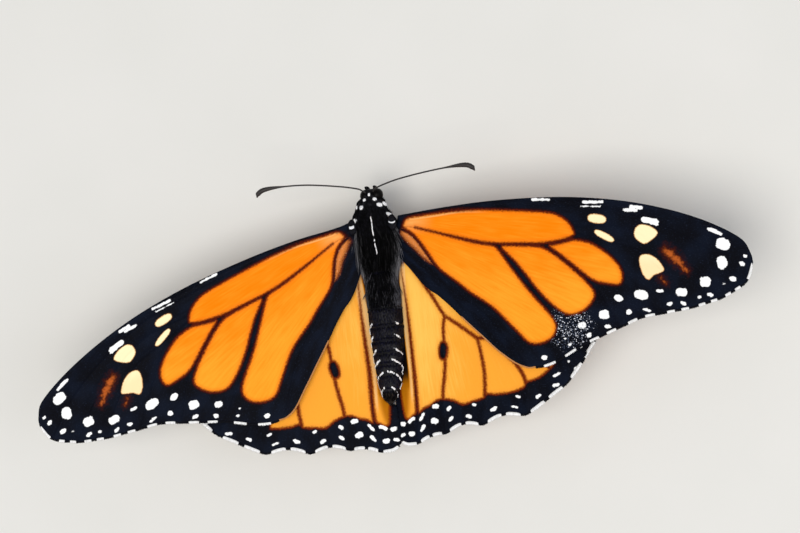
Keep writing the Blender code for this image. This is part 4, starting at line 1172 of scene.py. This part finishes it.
def make_tegulae():
    """The flap over each forewing hinge, scaled black with a white crescent, y = 0.9 x^2 - 0.12 x - 0.07 from
    its middle, with x outward."""
    rng = np.random.default_rng(SOFT_SEED + 4)
    # How far in each one sits, and half the thickness and half the width of its crescent.
    for suffix, inward, thick, width in (("R", 0.5, 0.035, 0.4), ("L", 0.25, 0.13, 0.3)):
        side = SIDES[suffix]
        centre = on_body([TEGULA_PLACE], side)[0] + np.array([-inward * side, 0, -0.3])
        plate = ball(centre, TEGULA_HALF, 30, 44)
        add_piece(f"tegula_{suffix}_plate", *plate, "chitin", "body_hair", [f"tegula_{suffix}"])
        x, y = rng.uniform(-1, 1, 2600), rng.uniform(-1, 1, 2600)
        x, y = np.array([x, y])[:, x ** 2 + y ** 2 < 0.96]
        count = len(x)
        out = np.column_stack([x, y, np.sqrt(1 - x ** 2 - y ** 2)])
        roots, normal = centre + out * TEGULA_HALF, unit(out / TEGULA_HALF)
        rear = np.array([0.15 * side, -1.0, 0.0])
        back = unit(rear - normal * (normal @ rear)[:, None])
        outward = side * TEGULA_HALF[0] * x
        white = np.abs(TEGULA_HALF[1] * y - (0.9 * outward ** 2 - 0.12 * outward - 0.07)) < thick
        white &= np.abs(outward) < width
        colour = np.where(white[:, None], grey(rng, count, "#F4F6FB", "#D0D4DC", 1.0),
                          grey(rng, count, "#060609", "#24242C", 3.0))
        reach = np.where(white, 0.17, rng.uniform(0.3, 0.5, count))
        roots = roots + normal * np.where(white, 0.1, 0.0)[:, None]
        add_tufts(f"tegula_{suffix}_hair", roots, unit(back + normal * 0.12), normal, reach, 0.08, 0.04,
                  (0.55, 0.8, 0.2), colour, np.column_stack([x + 1, y + 1]) / 2)


def leg_profile(part, share):
    """Radius along femur, tibia or tarsus, in mm: each swells and narrows by its own smooth profile."""
    if part in LEG_PROFILES:
        return np.interp(share, *LEG_PROFILES[part])
    return 0.13 + 0.06 * np.abs(np.sin(share * math.pi * 5)) ** 0.4


def make_legs():
    """Walking legs: femur, tibia and a five-ringed tarsus with claws, with short scales and spurs."""
    rng = np.random.default_rng(SOFT_SEED + 5)
    foot = -HINGE_HEIGHT + 0.2
    for suffix, side in SIDES.items():
        for kind, joints in LEGS.items():
            hip, knee, ankle, sole, toe = on_body([(*joint, foot)[:3] for joint in joints], side)
            routes = {"femur": [hip + np.array([0, 0, 0.6]), knee], "tibia": [knee, ankle],
                      "tarsus": [ankle, sole, (sole + toe) / 2, toe]}
            for part, route in routes.items():
                line = smooth_path(route, 60)
                spikes = claws(line) if part == "tarsus" else spurs(line) if part == "tibia" else []
                node_name = f"{kind}_{suffix}_{part}"
                limb = join([tube(line, leg_profile(part, np.linspace(0, 1, 61)), 16), *spikes])
                add_piece(f"{node_name}_chitin", *limb, "leg", "leg", [node_name])
                count, length = (260, 0.16) if part == "tarsus" else (420, 0.28)
                radii = leg_profile(part, np.linspace(0, 1, 9))
                tuft_cover(rng, f"{node_name}_hair", "leg", line[::10], radii, count, length, 0.045, 0.3,
                           ("#0B0B0F", "#3C3B42", 2.0))


def spike(points, steps, first, last, around):
    """A thin tube that narrows evenly from the first radius to the last."""
    return tube(smooth_path(points, steps), np.linspace(first, last, steps + 1), around)


def claws(line):
    """Two hooked claws at the toe."""
    ahead, end = unit(line[-1] - line[-4]), line[-1]
    side = unit(np.cross(ahead, UP))
    return [spike([end - ahead * 0.1, end + ahead * 0.18 + side * hand * 0.12 + np.array([0, 0, 0.06]),
                   end + ahead * 0.34 + side * hand * 0.14 + np.array([0, 0, -0.1])], 10, 0.06, 0.012, 8)
            for hand in (-1, 1)]


def spurs(line):
    """Spines down the tibia in two rows, and two spurs at its end."""
    ahead = unit(line[-1] - line[0])
    side = unit(np.cross(ahead, UP))
    down = np.cross(side, ahead)
    spines = [spike([root, root + ahead * 0.3 + side * hand * 0.26 - down * 0.12], 4, 0.035, 0.008, 6)
              for root in line[8:54:5] for hand in (-1, 1)]
    return spines + [spike([line[-2], line[-1] + ahead * 0.42 + side * hand * 0.16], 4, 0.05, 0.01, 6)
                     for hand in (-1, 1)]


# ---------------- stage

def stand(name, data, right, up, towards, place):
    """Adds a camera or light at a place in metres, looking back along towards."""
    made = put(name, data)
    turned = np.vstack([np.column_stack([right, up, towards, place]), (0, 0, 0, 1)])
    made.matrix_world = Matrix(turned.tolist())
    return made


def make_floor():
    mesh = bpy.data.meshes.new("floor")
    half = FLOOR_SIZE / 2
    corners = [(-half, -half, 0), (half, -half, 0), (half, half, 0), (-half, half, 0)]
    mesh.from_pydata(corners, [], [(0, 1, 2, 3)])
    mesh.materials.append(painted_floor())
    floor = put("floor", mesh)


def make_camera():
    """The camera looks at its target from a direction that leans from straight up towards its turn."""
    turn, lean, roll = (math.radians(CAMERA[key]) for key in ("turn", "lean", "roll"))
    towards = np.array([math.sin(lean) * math.cos(turn), math.sin(lean) * math.sin(turn), math.cos(lean)])
    right = unit(np.cross(-towards, FORWARD))
    up = np.cross(right, -towards)
    data = bpy.data.cameras.new("camera")
    data.lens, data.sensor_width, data.clip_start = CAMERA["lens"], 36.0, 0.01
    place = (np.array(CAMERA["look_at"]) + towards * CAMERA["distance"] + ZERO) * MM
    bpy.context.scene.camera = stand("camera", data, math.cos(roll) * right - math.sin(roll) * up,
                                     math.sin(roll) * right + math.cos(roll) * up, towards, place)


def make_lights():
    """Two square soft lights that face the butterfly, and a pale world. Places and sizes are metres."""
    for name, place, size, watts, colour in LIGHTS:
        data = bpy.data.lights.new(name, "AREA")
        data.size, data.energy, data.color = size, watts, linear(colour)[:3]
        towards = unit(np.array(place))
        right = unit(np.cross(np.array([0.0, 1.0, 0.1]), towards))
        stand(name, data, right, np.cross(towards, right), towards, place)
    world = bpy.data.worlds.new("studio")
    bpy.context.scene.world = world
    world.use_nodes = True
    background = world.node_tree.nodes["Background"]
    background.inputs[0].default_value, background.inputs[1].default_value = linear("#EDEFF3"), 0.47
    bpy.context.scene.view_settings.view_transform = "Standard"


MATERIALS = {
    "forewing": wing_scales("forewing_wing_scales", "#FA8203", "#FFA42A", "#FBCF80", "#F47410", "#F6922A",
                            "#C79A62", "#561808", "#5A1A08"),
    "hindwing": wing_scales("hindwing_wing_scales", "#FBA634", "#FFC459", "#FFD898", "#F39A34", "#EDB770",
                            "#C79A62", "#6C2408", "#7A3008"),
    "fringe": coat("fringe_scales", 1.05),
    "hair": coat("black_hair", 1.5),
    "white_scales": coat("white_scales", 1.0),
    "cuticle": body_cuticle(),
    "chitin": dark_chitin("dark_chitin", "#0B0A0D", "#1E1B20", 0.4, 0.1),
    "leg": dark_chitin("leg_chitin", "#0C0B0E", "#221F26", 0.4, 0.12),
    "feeler": dark_chitin("ringed_feeler_chitin", "#0C0A0C", "#2A2322", 0.45, 0.1),
    "eye": eye_lens(),
}

make_skin()
make_body_hair()
make_white_scales()
make_long_hair()
make_eyes()
make_small_limbs("palp")
make_proboscis()
make_antennae()
make_tegulae()
make_legs()
make_small_limbs("foreleg")
for wing_name in POSES:
    make_wing(wing_name)
make_floor()
make_camera()
make_lights()
